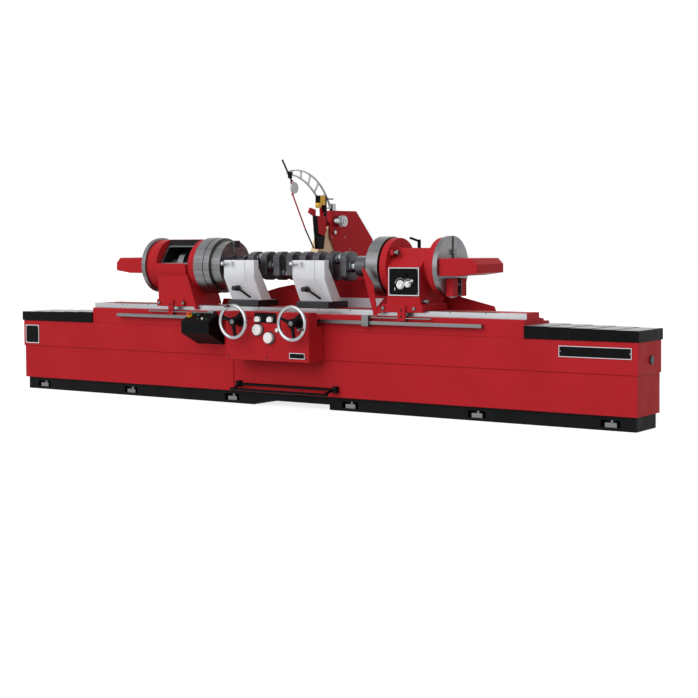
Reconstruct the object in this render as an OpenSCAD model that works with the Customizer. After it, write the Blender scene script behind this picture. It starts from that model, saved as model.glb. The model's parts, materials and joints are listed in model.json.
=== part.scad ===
// Crankshaft grinding machine with two chuck heads on a long sliding table.
// X runs along the bed, Y from the front to the rear, Z up from the floor, in millimetres.
// Places along Y are counted from the front face of the bed, which placed() sets in the part's frame.

/* [Bed] */
// Length of the bed
bed_len = 6000; // [5800:10:6600]
// Depth of the upper band of the bed
bed_depth = 394; // [392:1:420]
// Height of the plinth
plinth_h = 104; // [95:1:130]
// Height of the lower band of the bed
lower_h = 287; // [260:1:320]
// Height of the upper band of the bed
upper_h = 228; // [210:1:250]
// Step back of the lower band
lower_inset = 8; // [4:1:20]
// Step back of the plinth
plinth_inset = 26; // [15:1:35]
// Height of the raised middle of the plinth
plinth_arch_h = 41; // [20:1:55]
// Length of the rear bed behind the bed
rear_bed_len = 1261; // [1250:1:1400]
// Width of the rear bed
rear_bed_w = 1100; // [1060:1:1250]
// Height of the rear bed
rear_bed_h = 600; // [580:1:610]

/* [Table] */
// Length of the table
table_len = 4256; // [4200:2:4400]
// Height of the red band of the table
table_band_h = 131; // [120:1:145]
// Height of the front rail above the band
rail_h = 43; // [35:1:50]
// Thickness of the front rail
rail_t = 12; // [8:1:18]
// Depth of the table at its foot
table_depth = 388; // [385:1:392]
// Rear edge of the raised table top
table_top_rear = 304; // [295:1:320]
// Height of the way covers
cover_h = 92; // [80:1:105]
// Overhang of a way cover past the bed end
cover_overhang = 8; // [0:1:15]
// Length of the trip bar
trip_bar_len = 3604; // [3560:2:3640]

/* [Spindles] */
// Height of the spindle axis above the table
centre_h = 328; // [320:1:340]
// Depth of the spindle axis behind the bed face
spindle_y = 200; // [195:1:205]
// Radius of the spindle shafts
spindle_r = 60; // [50:1:70]
// Radius of the rear discs
disc_r = 233; // [225:1:235]
// Thickness of the rear discs
disc_t = 40; // [30:1:45]
// Radius of the chucks
chuck_r = 231; // [222:1:234]
// Length of the counterweight arms
arm_len = 320; // [260:1:360]
// Height of the counterweight arms
arm_h = 130; // [110:1:150]
// Width of the counterweight arms
arm_w = 400; // [360:1:410]

/* [Heads] */
// Place of the left end of the left head's drum
left_head_x = -1388; // [-1400:1:-1380]
// Length of the left head's drum
left_drum_len = 350; // [340:1:360]
// Radius of the left head's drum
drum_r = 219; // [212:1:225]
// Radius of the cavity behind the window
cavity_r = 170; // [160:1:180]
// Distance of the window plane from the spindle axis
window_dist = 150; // [144:1:156]
// Place of the left side of the right head's body
right_head_x = 961; // [955:1:970]
// Length of the right head's body
right_body_len = 295; // [285:1:305]
// Radius of the red ring guards
guard_r = 220; // [212:1:225]
// Width of the control plate
control_w = 276; // [260:1:285]
// Height of the control plate
control_h = 216; // [200:1:225]

/* [Crankshaft] */
// Swing radius of the crankshaft
swing_r = 116; // [105:1:118]
// Radius of the main journals
main_r = 48; // [42:1:55]
// Radius of the crank pins
pin_r = 42; // [36:1:46]
// Throw of the crank pins
throw = 58; // [50:1:62]
// Thickness of a crank web
web_t = 62; // [56:1:66]
// Number of throws
throws = 4; // [4:2:6]

/* [Steady rests] */
// Place of the left steady rest
left_steady_x = -610; // [-615:1:-600]
// Place of the right steady rest
right_steady_x = 88; // [80:1:95]
// Width of a steady rest
steady_w = 312; // [300:1:318]
// Height of the steady's base plate
steady_base_h = 52; // [45:1:60]

/* [Wheelhead] */
// Radius of the grinding wheel
wheel_r = 380; // [370:1:383]
// Width of the grinding wheel
wheel_w = 76; // [60:1:80]
// Depth of the wheel axis behind the bed face
wheel_y = 840; // [838:1:850]
// Width of the wheel guard
wheel_guard_w = 120; // [116:1:126]
// Thickness of the guard's side walls
wheel_guard_wall = 8; // [6:1:10]
// Length of the wheelhead body along X
wheelhead_len = 760; // [700:1:780]

/* [Controls] */
// Width of the apron
apron_w = 823; // [810:1:840]
// Depth of the apron in front of the bed
apron_depth = 200; // [190:1:210]
// Height of the apron
apron_h = 383; // [375:1:388]
// Radius of the handwheels, to the middle of the rim
handwheel_r = 126; // [115:1:132]
// Radius of the handwheel rim tube
rim_r = 14; // [10:1:16]
// Distance of the handwheel rims in front of the apron
handwheel_gap = 100; // [90:1:110]
// Length of the handwheel handles
handle_len = 85; // [70:1:95]
// Radius of the two round white knobs
knob_r = 43; // [38:1:46]
// Width of the control desk
desk_w = 294; // [285:1:300]

/* [Hidden] */
$fn = 64;

// Overrun of cuts, running clearances and the share of a half
cut = 5;
slide_gap = 0.3;
fit_gap = 0.05;
face_gap = 3;

// Levels and frame
bed_top = plinth_h + lower_h + upper_h;
band_top = bed_top + table_band_h;
table_top = band_top + rail_h;
spindle_z = table_top + centre_h;
handwheel_y = -apron_depth - handwheel_gap;
front_reach = handle_len - handwheel_y;
rear_reach = bed_depth + rear_bed_len;
bed_front_y = (front_reach - rear_reach) / 2;

// Bed details
rear_bed_x = -270;
plinth_gap_x0 = -357;
plinth_ramp_x = -162;
plinth_ramp_h = 16;
plinth_gap_x1 = 394;
foot_places_share = [-0.4633, -0.2862, -0.0983, 0.0983, 0.2862, 0.4633];
pocket_w = 150;
pocket_z = 22;
pocket_h = 52;
pocket_depth = 62;
foot_w = 90;
foot_block_h = 34;
foot_bolt_r = 13;
seam_x = -550;
seam_w = 5;
seam_depth = 3;
seam_margin = 25;
flat_way_y = 60;
flat_way_w = 70;
flat_way_h = 10;
vee_way_y = 300;
vee_way_w = 60;
vee_way_h = 18;
rear_way_w = 60;
rear_way_h = 12;
rear_way_x0 = 20;
rear_way_x1 = 620;
rear_way_y0 = 480;

// Plates
plate_t = 4;
left_plate_w = 170;
left_plate_h = 165;
left_plate_x = 29;
right_plate_w = 551;
right_plate_h = 79;
right_plate_x = 47;
plate_drop = 40;
label_w = 149;
label_h = 46;
label_x = 184;
label_z = 72;
plug_r = 26;
plug_y = 211;
plug_drop = 132;
plug_t = 6;

// Apron, panel and desk details
apron_x = -452;
channel_depth = 90;
channel_h = 110;
panel_x = -159;
panel_w = 218;
panel_h = 80;
panel_t = 3;
apron_clear = 3;
handwheel_z = 690;
traverse_x = -297;
infeed_x = 284;
traverse_turn = 200;
infeed_turn = -40;
shaft_r = 16;
shaft_in = 90;
hub_r = 34;
hub_len = 26;
collar_r = 44;
collar_t = 14;
spoke_w = 26;
spoke_t = 12;
handle_r = 11;
desk_x = -928;
desk_front_h = 98;
desk_front_z = 575;
desk_rear_y = -80;
desk_rear_z = 735;
desk_foot_z = 478;
desk_foot_h = 137;
desk_rear_drop = 95;
lamp_r = 7;
lamp_h = 5;
button_r = 9;
button_h = 12;
button_in = 20;
stop_r = 20;
stop_base_r = 24;
stop_base_h = 14;
round_knob_len = 38;
round_collar_r = 50;
round_collar_t = 8;
knob_shaft_r = 10;
knob_shaft_in = 40;
upper_knob_x = -116;
upper_knob_z = 626;
lower_knob_x = -5;
lower_knob_z = 566;
panel_knob_r = 26;
panel_knob_len = 22;
left_panel_knob_x = -120;
right_panel_knob_x = 3;
panel_knob_z = 705;
sight_x = 66;
sight_z = 626;
sight_r = 17;
sight_t = 10;

// Foot bar details
bar_r = 11;
bar_rear_y = -20;
bar_rear_z = 168;
bar_front_y = -125;
bar_front_z = 135;
bar_x0 = -475;
bar_x1 = 490;
bracket_w = 34;
bracket_h = 50;
bracket_front = 40;

// Table details
table_front = 2;
rail_y = 30;
table_rear_h = 111;
end_cap_len = 38;
end_cap_drop = 46;
trip_y0 = -42;
trip_t = 24;
trip_z = 684;
trip_h = 27;
standoff_places_share = [0, 0.111, 0.3219, 0.4717];
standoff_w = 30;
dog_places_share = [-0.2039, 0.2206];
dog_w = 60;
dog_y0 = -60;
dog_y1 = -15;
dog_z0 = 672;
dog_h = 82;
rod_y0 = -30;
rod_z0 = 738;
rod_r = 6;
cover_front = 8;
cover_steps = 5;
cover_step_h = 3;

// Head details
lip_front = 20;
lip_drop = 12;
lip_h = 60;
head_rear = 340;
shoulder_h = 320;
left_shoulder_h = 336;
left_foot_x = -930;
left_face_x0 = -1355;
left_face_x1 = -1063;
left_flange_len = 84;
left_flange_r = 215;
neck_len = 28;
neck_r = 190;
right_flange_len = 64;
left_wall = 55;
window_rim = 14;
bolt_r = 13;
bolt_head_h = 12;
left_bolt_places = [-1325, -1056];
bracket_places = [-1212, 1078];
clamp_w = [54, 69];
clamp_z = 717;
clamp_top = 836;
clamp_t = 20;
left_rod = [-1437, -765];
right_rod = [1369, 800];
gear_r = 120;
gear_t = 60;
ring_t = 55;
right_neck_len = 67;
right_neck_r = 150;
body_top_h = 470;
body_slope_y = 150;
waist_z = 48;
clamp_block_x0 = 923;
clamp_block_x1 = 1287;
right_bolt_places = [941, 1218];
side_knob_y = 50;
side_knob_z = 70;
side_knob_r = 18;
control_z = 111;
control_x = 17;
control_t = 8;
control_rim = 12;
dial_x = 127;
dial_z = 195;
dial_r = 34;
dial_t = 20;
selector_x = 195;
selector_z = 200;
selector_r = 26;
lever_tip = [55, -12, 28];
indicator_x = 170;
indicator_z = 271;
indicator_r = 14;
plunger_y = 45;
plunger_z = 0.76 * (body_top_h - centre_h);
plunger_x0 = 896;
plunger_x1 = 1027;
plunger_r = 16;
plunger_pin_r = 8;
plunger_bracket_x0 = 970;
plunger_bracket_w = 34;
plunger_bracket_y = 110;
post_x = 1124;
post_r = 13;
post_h = 64;
post_in = (body_top_h - centre_h - spindle_r) / 2;
post_arm = [-82, 0, 26];
guard_sheet_t = 6;

// Spindle and chuck details
left_chuck_x = -941;
plate_1_len = 99;
plate_2_x = -839;
plate_2_len = 62;
plate_3_x = -774;
plate_3_len = 97;
plate_3_r = 205;
jaw_w = 90;
jaw_top_h = 223;
jaw_arm_x1 = -661;
jaw_arm_w = 70;
right_chuck_x = 770;
right_chuck_len = 120;
slot_w = 26;
slot_depth = 12;
nut_w = 40;
weight_w = 100;
weight_h = 90;
weight_t = 60;
weight_drop = 130;
balance_rod_r = 14;
crank_x0 = -677;
crank_end_x0 = -547;
crank_train_x0 = -476;
crank_x1 = 770;
crank_end_r = 82;
web_half_w = 88;
throw_turn = 180;

// Steady details
steady_front = -30;
steady_top_y = 31;
steady_base_y = 70;
steady_rear_y = 200;
steady_top_h = 376;
steady_crease_h = 234;
steady_back_h = 317;
steady_foot_front = 20;
steady_foot_rear = 290;
steady_groove_x = 215;
steady_knob_x = 27;
steady_knob_h = 348;
ball_r = 20;
steady_bar_len = 68;
steady_bar_r = 7;
steady_boss_r = 20;
lower_knob_dx = 125;
lower_knob_h = 150;
lower_knob_y = -2;
lower_boss_r = 24;
lower_boss_t = 14;
lower_shaft_in = 60;
lever_dx = 143;
lever_drop = 71;
lever_r = 9;

// Wheelhead details
guard_x = -130;
guard_top = 1570;
guard_shoulder = 1332;
guard_bottom = 760;
guard_front_top = 650;
guard_front_mid = 620;
guard_front_mouth = 689;
guard_front_low = 660;
guard_rear_top = 1003;
guard_rear = 1251;
guard_mouth_top = 1249;
guard_mouth_bottom = 990;
guard_mid_z = 1360;
guard_low_z = 880;
wheel_clear = 12;
wheel_flange_r = 110;
wheel_flange_t = 7;
wheel_shaft_r = 40;
wheel_shaft_len = 300;
wheelhead_y0 = 690;
wheelhead_y1 = 1380;
wheelhead_h = 450;
wheelhead_base_h = 80;
wheelhead_base_x = -130;
wheelhead_base_y0 = 640;
wheelhead_base_y1 = 1400;
feed_y = 660;
feed_z = 1482;
feed_r = 44;
feed_len = 90;
feed_button_z = 1391;
feed_button_r = 16;

// Boom details, in the plane of the gauge
boom_x = -25;
boom_t = 16;
boom_out = [197, 1401];
boom_out_r = 491;
boom_in = [56, 1301];
boom_in_r = 547;
boom_pivot = [680, 1604];
boom_end = 24;
boom_top = 99;
boom_pitch = 15;
pivot_r = 12;
ear_t = 8;
boom_tip_y = 60;
strut_w = 10;
handle_top = [-20, 1961];
handle_low = [98, 1799];
dial_place = [134, 1745];
gauge_dial_r = 46;
gauge_rod = [[110, 1693], [278, 1413], [388, 1263]];
gauge_rod_r = 6;
handle_rod_r = 7;
cross_rod_z = 1665;
gauge_body = [[385, 1524], [505, 1524], [513, 1400], [470, 1361], [400, 1380]];
gauge_cap = [[320, 1550], [412, 1512], [412, 1575], [340, 1590]];
gauge_arm = [[520, 1690], [545, 1690], [545, 1480], [525, 1400], [499, 1254], [412, 1254], [402, 1400],
    [470, 1480], [505, 1553]];
gauge_arm_t = 30;
gauge_body_t = 50;
yellow_knob = [422, 1609];
yellow_knob_r = 21;
boom_block = [[427, 1612], [497, 1612], [497, 1690], [427, 1690]];

// Desk, guards and places that follow from the sizes above
desk_slope = atan((desk_rear_z - desk_front_z - desk_front_h) / (apron_depth + desk_rear_y));
desk_span = (apron_depth + desk_rear_y) / cos(desk_slope);
stop_place = [18, 0.62];
start_place = [55, 0.87];
halt_place = [115, 0.71];
jog_place = [196, 0.3];
lamp_places = [[152, 0.27], [245, 0.27], [170, 0.92], [240, 0.92]];
guard_y = 446;
guard_t = 5;
guard_foot_t = 20;
guard_foot_z = rear_bed_h + slide_gap;
left_sheet = [[-1030, 790], [-1015, 834], [-931, 834], [-880, 800], [-700, 865], [-529, 906], [-420, 935],
    [-275, 960], [-150, 960]];
right_sheet = [[10, 1010], [980, 1010], [1100, 985], [1255, 930], [1355, 884], [1636, 820], [1652, 777]];
bracket_gap = 380;
drip_x0 = 190;
drip_x1 = 640;
drip_z0 = 770;
drip_z1 = 862;
left_drum_x1 = left_head_x + left_drum_len;
left_body_x1 = left_drum_x1 + neck_len + right_flange_len;
window_tilt = 35;
left_disc_x = left_head_x - left_flange_len - face_gap - disc_t;
right_body_x1 = right_head_x + right_body_len;
fold_foot = [858, 896];
fold_tip = [790, 820];
guard_tip_h = 370;
guard_wing_x = 903;
guard_wing_h = 235;
guard_tip_y = -92;
right_disc_x = right_body_x1 + right_neck_len + ring_t + face_gap;
wheel_x = guard_x + (wheel_guard_w - wheel_w) / 2;
wheelhead_x = guard_x + wheel_guard_w;
slide_z = rear_bed_h + slide_gap;

// Basic shapes
module block(low, high) {
    translate(low) cube(high - low);
}
module rod_x(x0, x1, y, z, r) {
    translate([x0, y, z]) rotate([0, 90, 0]) cylinder(h = x1 - x0, r = r);
}
module rod_y(y0, y1, x, z, r) {
    translate([x, y1, z]) rotate([90, 0, 0]) cylinder(h = y1 - y0, r = r);
}
module rod_z(z0, z1, x, y, r) {
    translate([x, y, z0]) cylinder(h = z1 - z0, r = r);
}
module rod(start, end, r) {
    along = end - start;
    translate(start)
        rotate([0, acos(along.z / norm(along)), atan2(along.y, along.x)])
            cylinder(h = norm(along), r = r);
}
module along_x(x0, x1) {
    translate([x0, 0, 0]) rotate([90, 0, 90]) linear_extrude(x1 - x0) children();
}
module along_y(y0, y1) {
    translate([0, y1, 0]) rotate([90, 0, 0]) linear_extrude(y1 - y0) children();
}
module spindle_disc(x0, x1, r) {
    rod_x(x0, x1, spindle_y, spindle_z, r);
}
module spindle_ring(x0, x1, r, bore) {
    difference() {
        spindle_disc(x0, x1, r);
        spindle_disc(x0 - cut, x1 + cut, bore);
    }
}
module strut(start, end, w, x0, x1) {
    along = end - start;
    along_x(x0, x1)
        translate(start) rotate(atan2(along.y, along.x)) translate([0, -w / 2]) square([norm(along), w]);
}
module placed() {
    translate([0, bed_front_y, 0]) children();
}

// Way profiles, grown by a gap for the grooves that ride on them
module way_outline(gap) {
    translate([flat_way_y - gap, bed_top - gap]) square([flat_way_w + 2 * gap, flat_way_h + 2 * gap]);
    polygon([
        [vee_way_y - vee_way_w / 2 - 2 * gap, bed_top - gap],
        [vee_way_y + vee_way_w / 2 + 2 * gap, bed_top - gap],
        [vee_way_y, bed_top + vee_way_h + 2 * gap]
    ]);
}

module bed_casting() {
    half = bed_len / 2;
    color("firebrick") placed() difference() {
        union() {
            block([-half, 0, plinth_h + lower_h], [half, bed_depth, bed_top]);
            block([-half + lower_inset, lower_inset, plinth_h],
                [half - lower_inset, bed_depth - lower_inset, plinth_h + lower_h]);
        }
        block([seam_x, lower_inset - cut, plinth_h + seam_margin],
            [seam_x + seam_w, lower_inset + seam_depth, plinth_h + lower_h - seam_margin]);
        rod_x(half - plug_t, half + cut, plug_y, bed_top - plug_drop, plug_r);
    }
}

module bed_plinth() {
    half = bed_len / 2 - plinth_inset;
    front = lower_inset + plinth_inset;
    rear = bed_depth - front;
    color("dimgray") placed() {
        difference() {
            along_y(front, rear) polygon([
                [-half, 0], [plinth_gap_x0, 0], [plinth_gap_x0 + plinth_ramp_h, plinth_ramp_h],
                [plinth_ramp_x, plinth_arch_h], [plinth_gap_x1, plinth_arch_h], [plinth_gap_x1, 0],
                [half, 0], [half, plinth_h], [-half, plinth_h]
            ]);
            for (share = foot_places_share) {
                foot_pocket(share * bed_len, front - cut, front + pocket_depth);
                foot_pocket(share * bed_len, rear - pocket_depth, rear + cut);
            }
        }
        block([rear_bed_x + plinth_inset, bed_depth + plinth_inset, 0],
            [rear_bed_x + rear_bed_w - plinth_inset, rear_reach - plinth_inset, plinth_h]);
    }
}
module foot_pocket(x, y0, y1) {
    block([x - pocket_w / 2, y0, pocket_z], [x + pocket_w / 2, y1, pocket_z + pocket_h]);
}

module levelling_feet() {
    front = lower_inset + plinth_inset;
    rear = bed_depth - front;
    color("silver") placed() for (share = foot_places_share) {
        levelling_foot(share * bed_len, front + cut, front + pocket_depth - cut);
        levelling_foot(share * bed_len, rear - pocket_depth + cut, rear - cut);
    }
}
module levelling_foot(x, y0, y1) {
    block([x - foot_w / 2, y0, pocket_z], [x + foot_w / 2, y1, pocket_z + foot_block_h]);
    rod_z(pocket_z + foot_block_h, pocket_z + pocket_h, x, (y0 + y1) / 2, foot_bolt_r);
}

module guide_ways() {
    color("silver") placed() {
        along_x(-bed_len / 2, bed_len / 2) way_outline(0);
        for (x = [rear_way_x0, rear_way_x1])
            block([x, rear_way_y0, rear_bed_h], [x + rear_way_w, rear_reach, rear_bed_h + rear_way_h]);
    }
}

module rear_bed() {
    color("firebrick") placed()
        block([rear_bed_x, bed_depth, plinth_h], [rear_bed_x + rear_bed_w, rear_reach, rear_bed_h]);
}

module apron_box() {
    top = plinth_h + lower_h - cut - apron_clear + apron_h;
    color("firebrick") placed() difference() {
        block([apron_x, -apron_depth, top - apron_h], [apron_x + apron_w, 0, top]);
        block([apron_x - cut, -channel_depth, top - channel_h], [apron_x + apron_w + cut, cut, top + cut]);
        for (x = [traverse_x, infeed_x])
            rod_y(-apron_depth - cut, -channel_depth - cut, x, handwheel_z, shaft_r + fit_gap);
        for (place = [[upper_knob_x, upper_knob_z], [lower_knob_x, lower_knob_z],
                [left_panel_knob_x, panel_knob_z], [right_panel_knob_x, panel_knob_z]])
            rod_y(-apron_depth - cut, -apron_depth + knob_shaft_in, place.x, place.y,
                knob_shaft_r + fit_gap);
    }
}

module apron_panel() {
    mid_z = panel_knob_z + panel_h / 5;
    color("black") placed() {
        difference() {
            block([panel_x, -apron_depth - panel_t, mid_z - panel_h / 2],
                [panel_x + panel_w, -apron_depth, mid_z + panel_h / 2]);
            for (x = [left_panel_knob_x, right_panel_knob_x])
                rod_y(-apron_depth - panel_t - cut, -apron_depth + cut, x, panel_knob_z,
                    knob_shaft_r + fit_gap);
        }
        rod_y(-apron_depth - sight_t, -apron_depth, sight_x, sight_z, sight_r);
    }
}

module blank_plates() {
    half = bed_len / 2;
    top = bed_top - plate_drop;
    color("dimgray") placed() {
        block([-half + left_plate_x, -plate_t, top - left_plate_h],
            [-half + left_plate_x + left_plate_w, 0, top]);
        block([half - right_plate_x - right_plate_w, -plate_t, top - right_plate_h],
            [half - right_plate_x, 0, top]);
        block([label_x, -apron_depth - plate_t, plinth_h + lower_h - cut - apron_clear + label_z - label_h],
            [label_x + label_w, -apron_depth, plinth_h + lower_h - cut - apron_clear + label_z]);
        rod_x(half - plug_t, half, plug_y, bed_top - plug_drop, plug_r - fit_gap);
    }
}

// The sloping face of the control desk, as a frame with its rise along local y
module on_desk(x, up_share) {
    translate([x, -apron_depth, desk_front_z + desk_front_h])
        rotate([desk_slope, 0, 0]) translate([0, up_share * desk_span, 0]) children();
}

module control_desk() {
    color("black") placed() {
        difference() {
            along_x(desk_x, desk_x + desk_w) polygon([
                [-apron_depth, desk_front_z], [-apron_depth, desk_front_z + desk_front_h],
                [desk_rear_y, desk_rear_z], [desk_rear_y, desk_rear_z - desk_rear_drop],
                [0, desk_foot_z + desk_foot_h], [0, desk_foot_z]
            ]);
            on_desk(desk_x + stop_place.x, stop_place.y)
                translate([stop_base_r / 2, 0, -button_in]) cylinder(h = button_in + cut,
                    r = button_r + slide_gap);
            for (place = [start_place, halt_place, jog_place])
                on_desk(desk_x + place.x, place.y)
                    translate([0, 0, -button_in]) cylinder(h = button_in + cut, r = button_r + slide_gap);
        }
        on_desk(desk_x + stop_place.x, stop_place.y) translate([stop_base_r / 2, 0, 0]) difference() {
            cylinder(h = stop_base_h, r = stop_base_r);
            translate([0, 0, -cut]) cylinder(h = stop_base_h + 2 * cut, r = button_r + slide_gap);
        }
        for (place = lamp_places)
            on_desk(desk_x + place.x, place.y) cylinder(h = lamp_h, r = lamp_r);
    }
}

// A desk button whose stem slides in its bore
module desk_button(place, head_r) {
    placed() on_desk(desk_x + place.x, place.y) {
        translate([0, 0, -button_h]) cylinder(h = button_h + slide_gap, r = button_r);
        translate([0, 0, lamp_h]) cylinder(h = lamp_h, r = head_r);
        cylinder(h = lamp_h, r = button_r);
    }
}
module start_button() { color("green") desk_button(start_place, button_r); }
module stop_button() { color("teal") desk_button(halt_place, button_r); }
module jog_button() { color("silver") desk_button(jog_place, button_r); }
module emergency_stop() {
    color("orangered") placed() on_desk(desk_x + stop_place.x, stop_place.y) translate([stop_base_r / 2,
        0, 0]) {
        translate([0, 0, -button_h]) cylinder(h = button_h + stop_base_h + lamp_h + cut, r = button_r);
        translate([0, 0, stop_base_h + lamp_h]) cylinder(h = button_h, r = stop_r);
    }
}

// Sheet guards behind the table, on brackets at the back of the bed
module sheet_guard(top) {
    along_y(guard_y, guard_y + guard_t)
        polygon(concat(top, [[top[len(top) - 1].x, guard_foot_z], [top[0].x, guard_foot_z]]));
    for (x = [top[0].x + guard_foot_t : bracket_gap : top[len(top) - 1].x - 2 * guard_foot_t])
        block([x, bed_depth, guard_foot_z], [x + guard_foot_t, guard_y, bed_top]);
}
module splash_guards() {
    color("firebrick") placed() {
        sheet_guard(left_sheet);
        sheet_guard(right_sheet);
    }
}
module drip_plate() {
    color("lavender") placed()
        along_y(guard_y - guard_t, guard_y) polygon([
            [drip_x0, drip_z1], [drip_x1, drip_z1], [drip_x1 - drip_z1 + drip_z0, drip_z0],
            [drip_x0 + drip_z1 - drip_z0, drip_z0]
        ]);
}

module foot_bar_brackets() {
    color("dimgray") placed() for (x = [bar_x0 - bracket_w / 2, bar_x1 - bracket_w / 2])
        difference() {
            block([x, bar_rear_y - bracket_front / 2, bar_rear_z - bracket_h / 2],
                [x + bracket_w, lower_inset, bar_rear_z + bracket_h / 2]);
            rod_x(x - cut, x + bracket_w + cut, bar_rear_y, bar_rear_z, bar_r + fit_gap);
        }
}
module foot_bar() {
    arm_x = [bar_x0 + bracket_w / 2 + slide_gap, bar_x1 - bracket_w / 2 - slide_gap - 2 * bar_r];
    color("black") placed() {
        rod_x(bar_x0 - bracket_w / 2, bar_x1 + bracket_w / 2, bar_rear_y, bar_rear_z, bar_r);
        rod_x(bar_x0, bar_x1, bar_front_y, bar_front_z, bar_r);
        for (x = arm_x)
            strut([bar_front_y, bar_front_z], [bar_rear_y, bar_rear_z], 1.4 * bar_r, x, x + 2 * bar_r);
    }
}

module table_casting() {
    half = table_len / 2;
    body = half - end_cap_len;
    color("firebrick") placed() difference() {
        union() {
            along_x(-half, half) table_foot_outline();
            along_x(-body, body) table_top_outline(0);
            along_x(body, half) table_top_outline(end_cap_drop);
            along_x(-half, -body) table_top_outline(end_cap_drop);
        }
        along_x(-half - cut, half + cut) way_outline(slide_gap);
    }
}
module table_foot_outline() {
    polygon([
        [table_front, bed_top + slide_gap], [table_front, band_top], [rail_y, band_top],
        [table_top_rear, band_top], [table_top_rear, bed_top + table_rear_h],
        [table_front + table_depth, bed_top + table_rear_h], [table_front + table_depth,
            bed_top + slide_gap]
    ]);
}
module table_top_outline(drop) {
    polygon([
        [rail_y + rail_t, bed_top + table_rear_h], [rail_y + rail_t, table_top],
        [table_top_rear, table_top - drop], [table_top_rear, bed_top + table_rear_h]
    ]);
}
module table_rail() {
    color("silver") placed()
        block([-table_len / 2, rail_y, band_top], [table_len / 2, rail_y + rail_t, table_top]);
}
module trip_bar() {
    half = trip_bar_len / 2;
    color("silver") placed() {
        block([-half, trip_y0, trip_z], [half, trip_y0 + trip_t, trip_z + trip_h]);
        for (share = standoff_places_share, side = [-1, 1])
            if (share > 0 || side > 0)
                let (x = side * share * trip_bar_len)
                block([x - standoff_w / 2, trip_y0 + trip_t, trip_z],
                    [x + standoff_w / 2, table_front, trip_z + trip_h]);
    }
}

// A way cover, as its stack of overlapping plates
module way_cover(x0, x1, first_side) {
    step = (x1 - x0) / cover_steps;
    difference() {
        union() {
            block([x0, -cover_front, bed_top + slide_gap],
                [x1, bed_depth + cover_front, bed_top + cover_h - cover_steps * cover_step_h]);
            for (i = [0 : cover_steps - 1])
                let (rise = first_side > 0 ? i : cover_steps - 1 - i)
                block([x0 + i * step, -cover_front, bed_top + cover_h - cover_steps * cover_step_h],
                    [x0 + (i + 1) * step, bed_depth + cover_front,
                        bed_top + cover_h - rise * cover_step_h]);
        }
        along_x(x0 - cut, x1 + cut) way_outline(slide_gap);
    }
}
module left_way_cover() {
    color("black") placed() way_cover(-bed_len / 2 - cover_overhang, -table_len / 2, -1);
}
module right_way_cover() {
    color("black") placed() way_cover(table_len / 2, bed_len / 2 + cover_overhang, 1);
}

// A trip dog, which grips the trip bar and lets the guide rod pass
module trip_dog(x) {
    color("silver") placed() difference() {
        block([x - dog_w / 2, dog_y0, dog_z0], [x + dog_w / 2, dog_y1, dog_z0 + dog_h]);
        block([x - dog_w / 2 - cut, trip_y0 - slide_gap, trip_z - slide_gap],
            [x + dog_w / 2 + cut, trip_y0 + trip_t + slide_gap, trip_z + trip_h + slide_gap]);
        rod_x(x - dog_w / 2 - cut, x + dog_w / 2 + cut, rod_y0, rod_z0, rod_r + slide_gap);
    }
}
module left_trip_dog() { trip_dog(dog_places_share[0] * trip_bar_len); }
module right_trip_dog() { trip_dog(dog_places_share[1] * trip_bar_len); }

// Space that the table top and the front rail take from a head that sits on them
module table_space(x0, x1) {
    block([x0, rail_y - slide_gap, bed_top], [x1, bed_depth, table_top + slide_gap]);
}

module on_window() {
    translate([0, spindle_y, spindle_z]) rotate([90 - window_tilt, 0, 0]) translate([0, 0, window_dist])
        children();
}
module left_head_casting() {
    foot_z = table_top - lip_drop;
    half_h = sqrt(pow(cavity_r, 2) - pow(window_dist, 2));
    color("firebrick") placed() difference() {
        union() {
            along_y(0, head_rear - slide_gap) polygon([
                [left_face_x0, foot_z], [left_foot_x - 2 * lip_front, foot_z],
                [left_foot_x - lip_front, foot_z - 2 * lip_drop], [left_foot_x, foot_z - 2 * lip_drop],
                [left_face_x1, table_top + left_shoulder_h], [left_face_x0, table_top + left_shoulder_h]
            ]);
            block([left_face_x0, -lip_front, foot_z], [left_face_x1, 0, foot_z + lip_h]);
            spindle_disc(left_head_x, left_drum_x1, drum_r);
            spindle_disc(left_head_x - left_flange_len, left_head_x, left_flange_r);
            spindle_disc(left_drum_x1, left_drum_x1 + neck_len, neck_r);
            spindle_disc(left_drum_x1 + neck_len, left_body_x1, left_flange_r);
        }
        table_space(left_face_x0 - cut, left_foot_x + cut);
        spindle_disc(left_head_x - left_flange_len - cut, left_body_x1 + cut, spindle_r + fit_gap);
        spindle_disc(left_head_x + left_wall, left_drum_x1 - window_rim, cavity_r);
        on_window() translate([left_head_x + left_wall / 2, -half_h - 2 * window_rim, 0])
            cube([left_drum_len - left_wall / 2, 2 * half_h + drum_r, drum_r]);
        for (x = left_bolt_places)
            rod_y(-lip_front - cut, -lip_front + bolt_head_h, x, foot_z + lip_h / 2, bolt_r / 2);
    }
}

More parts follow.
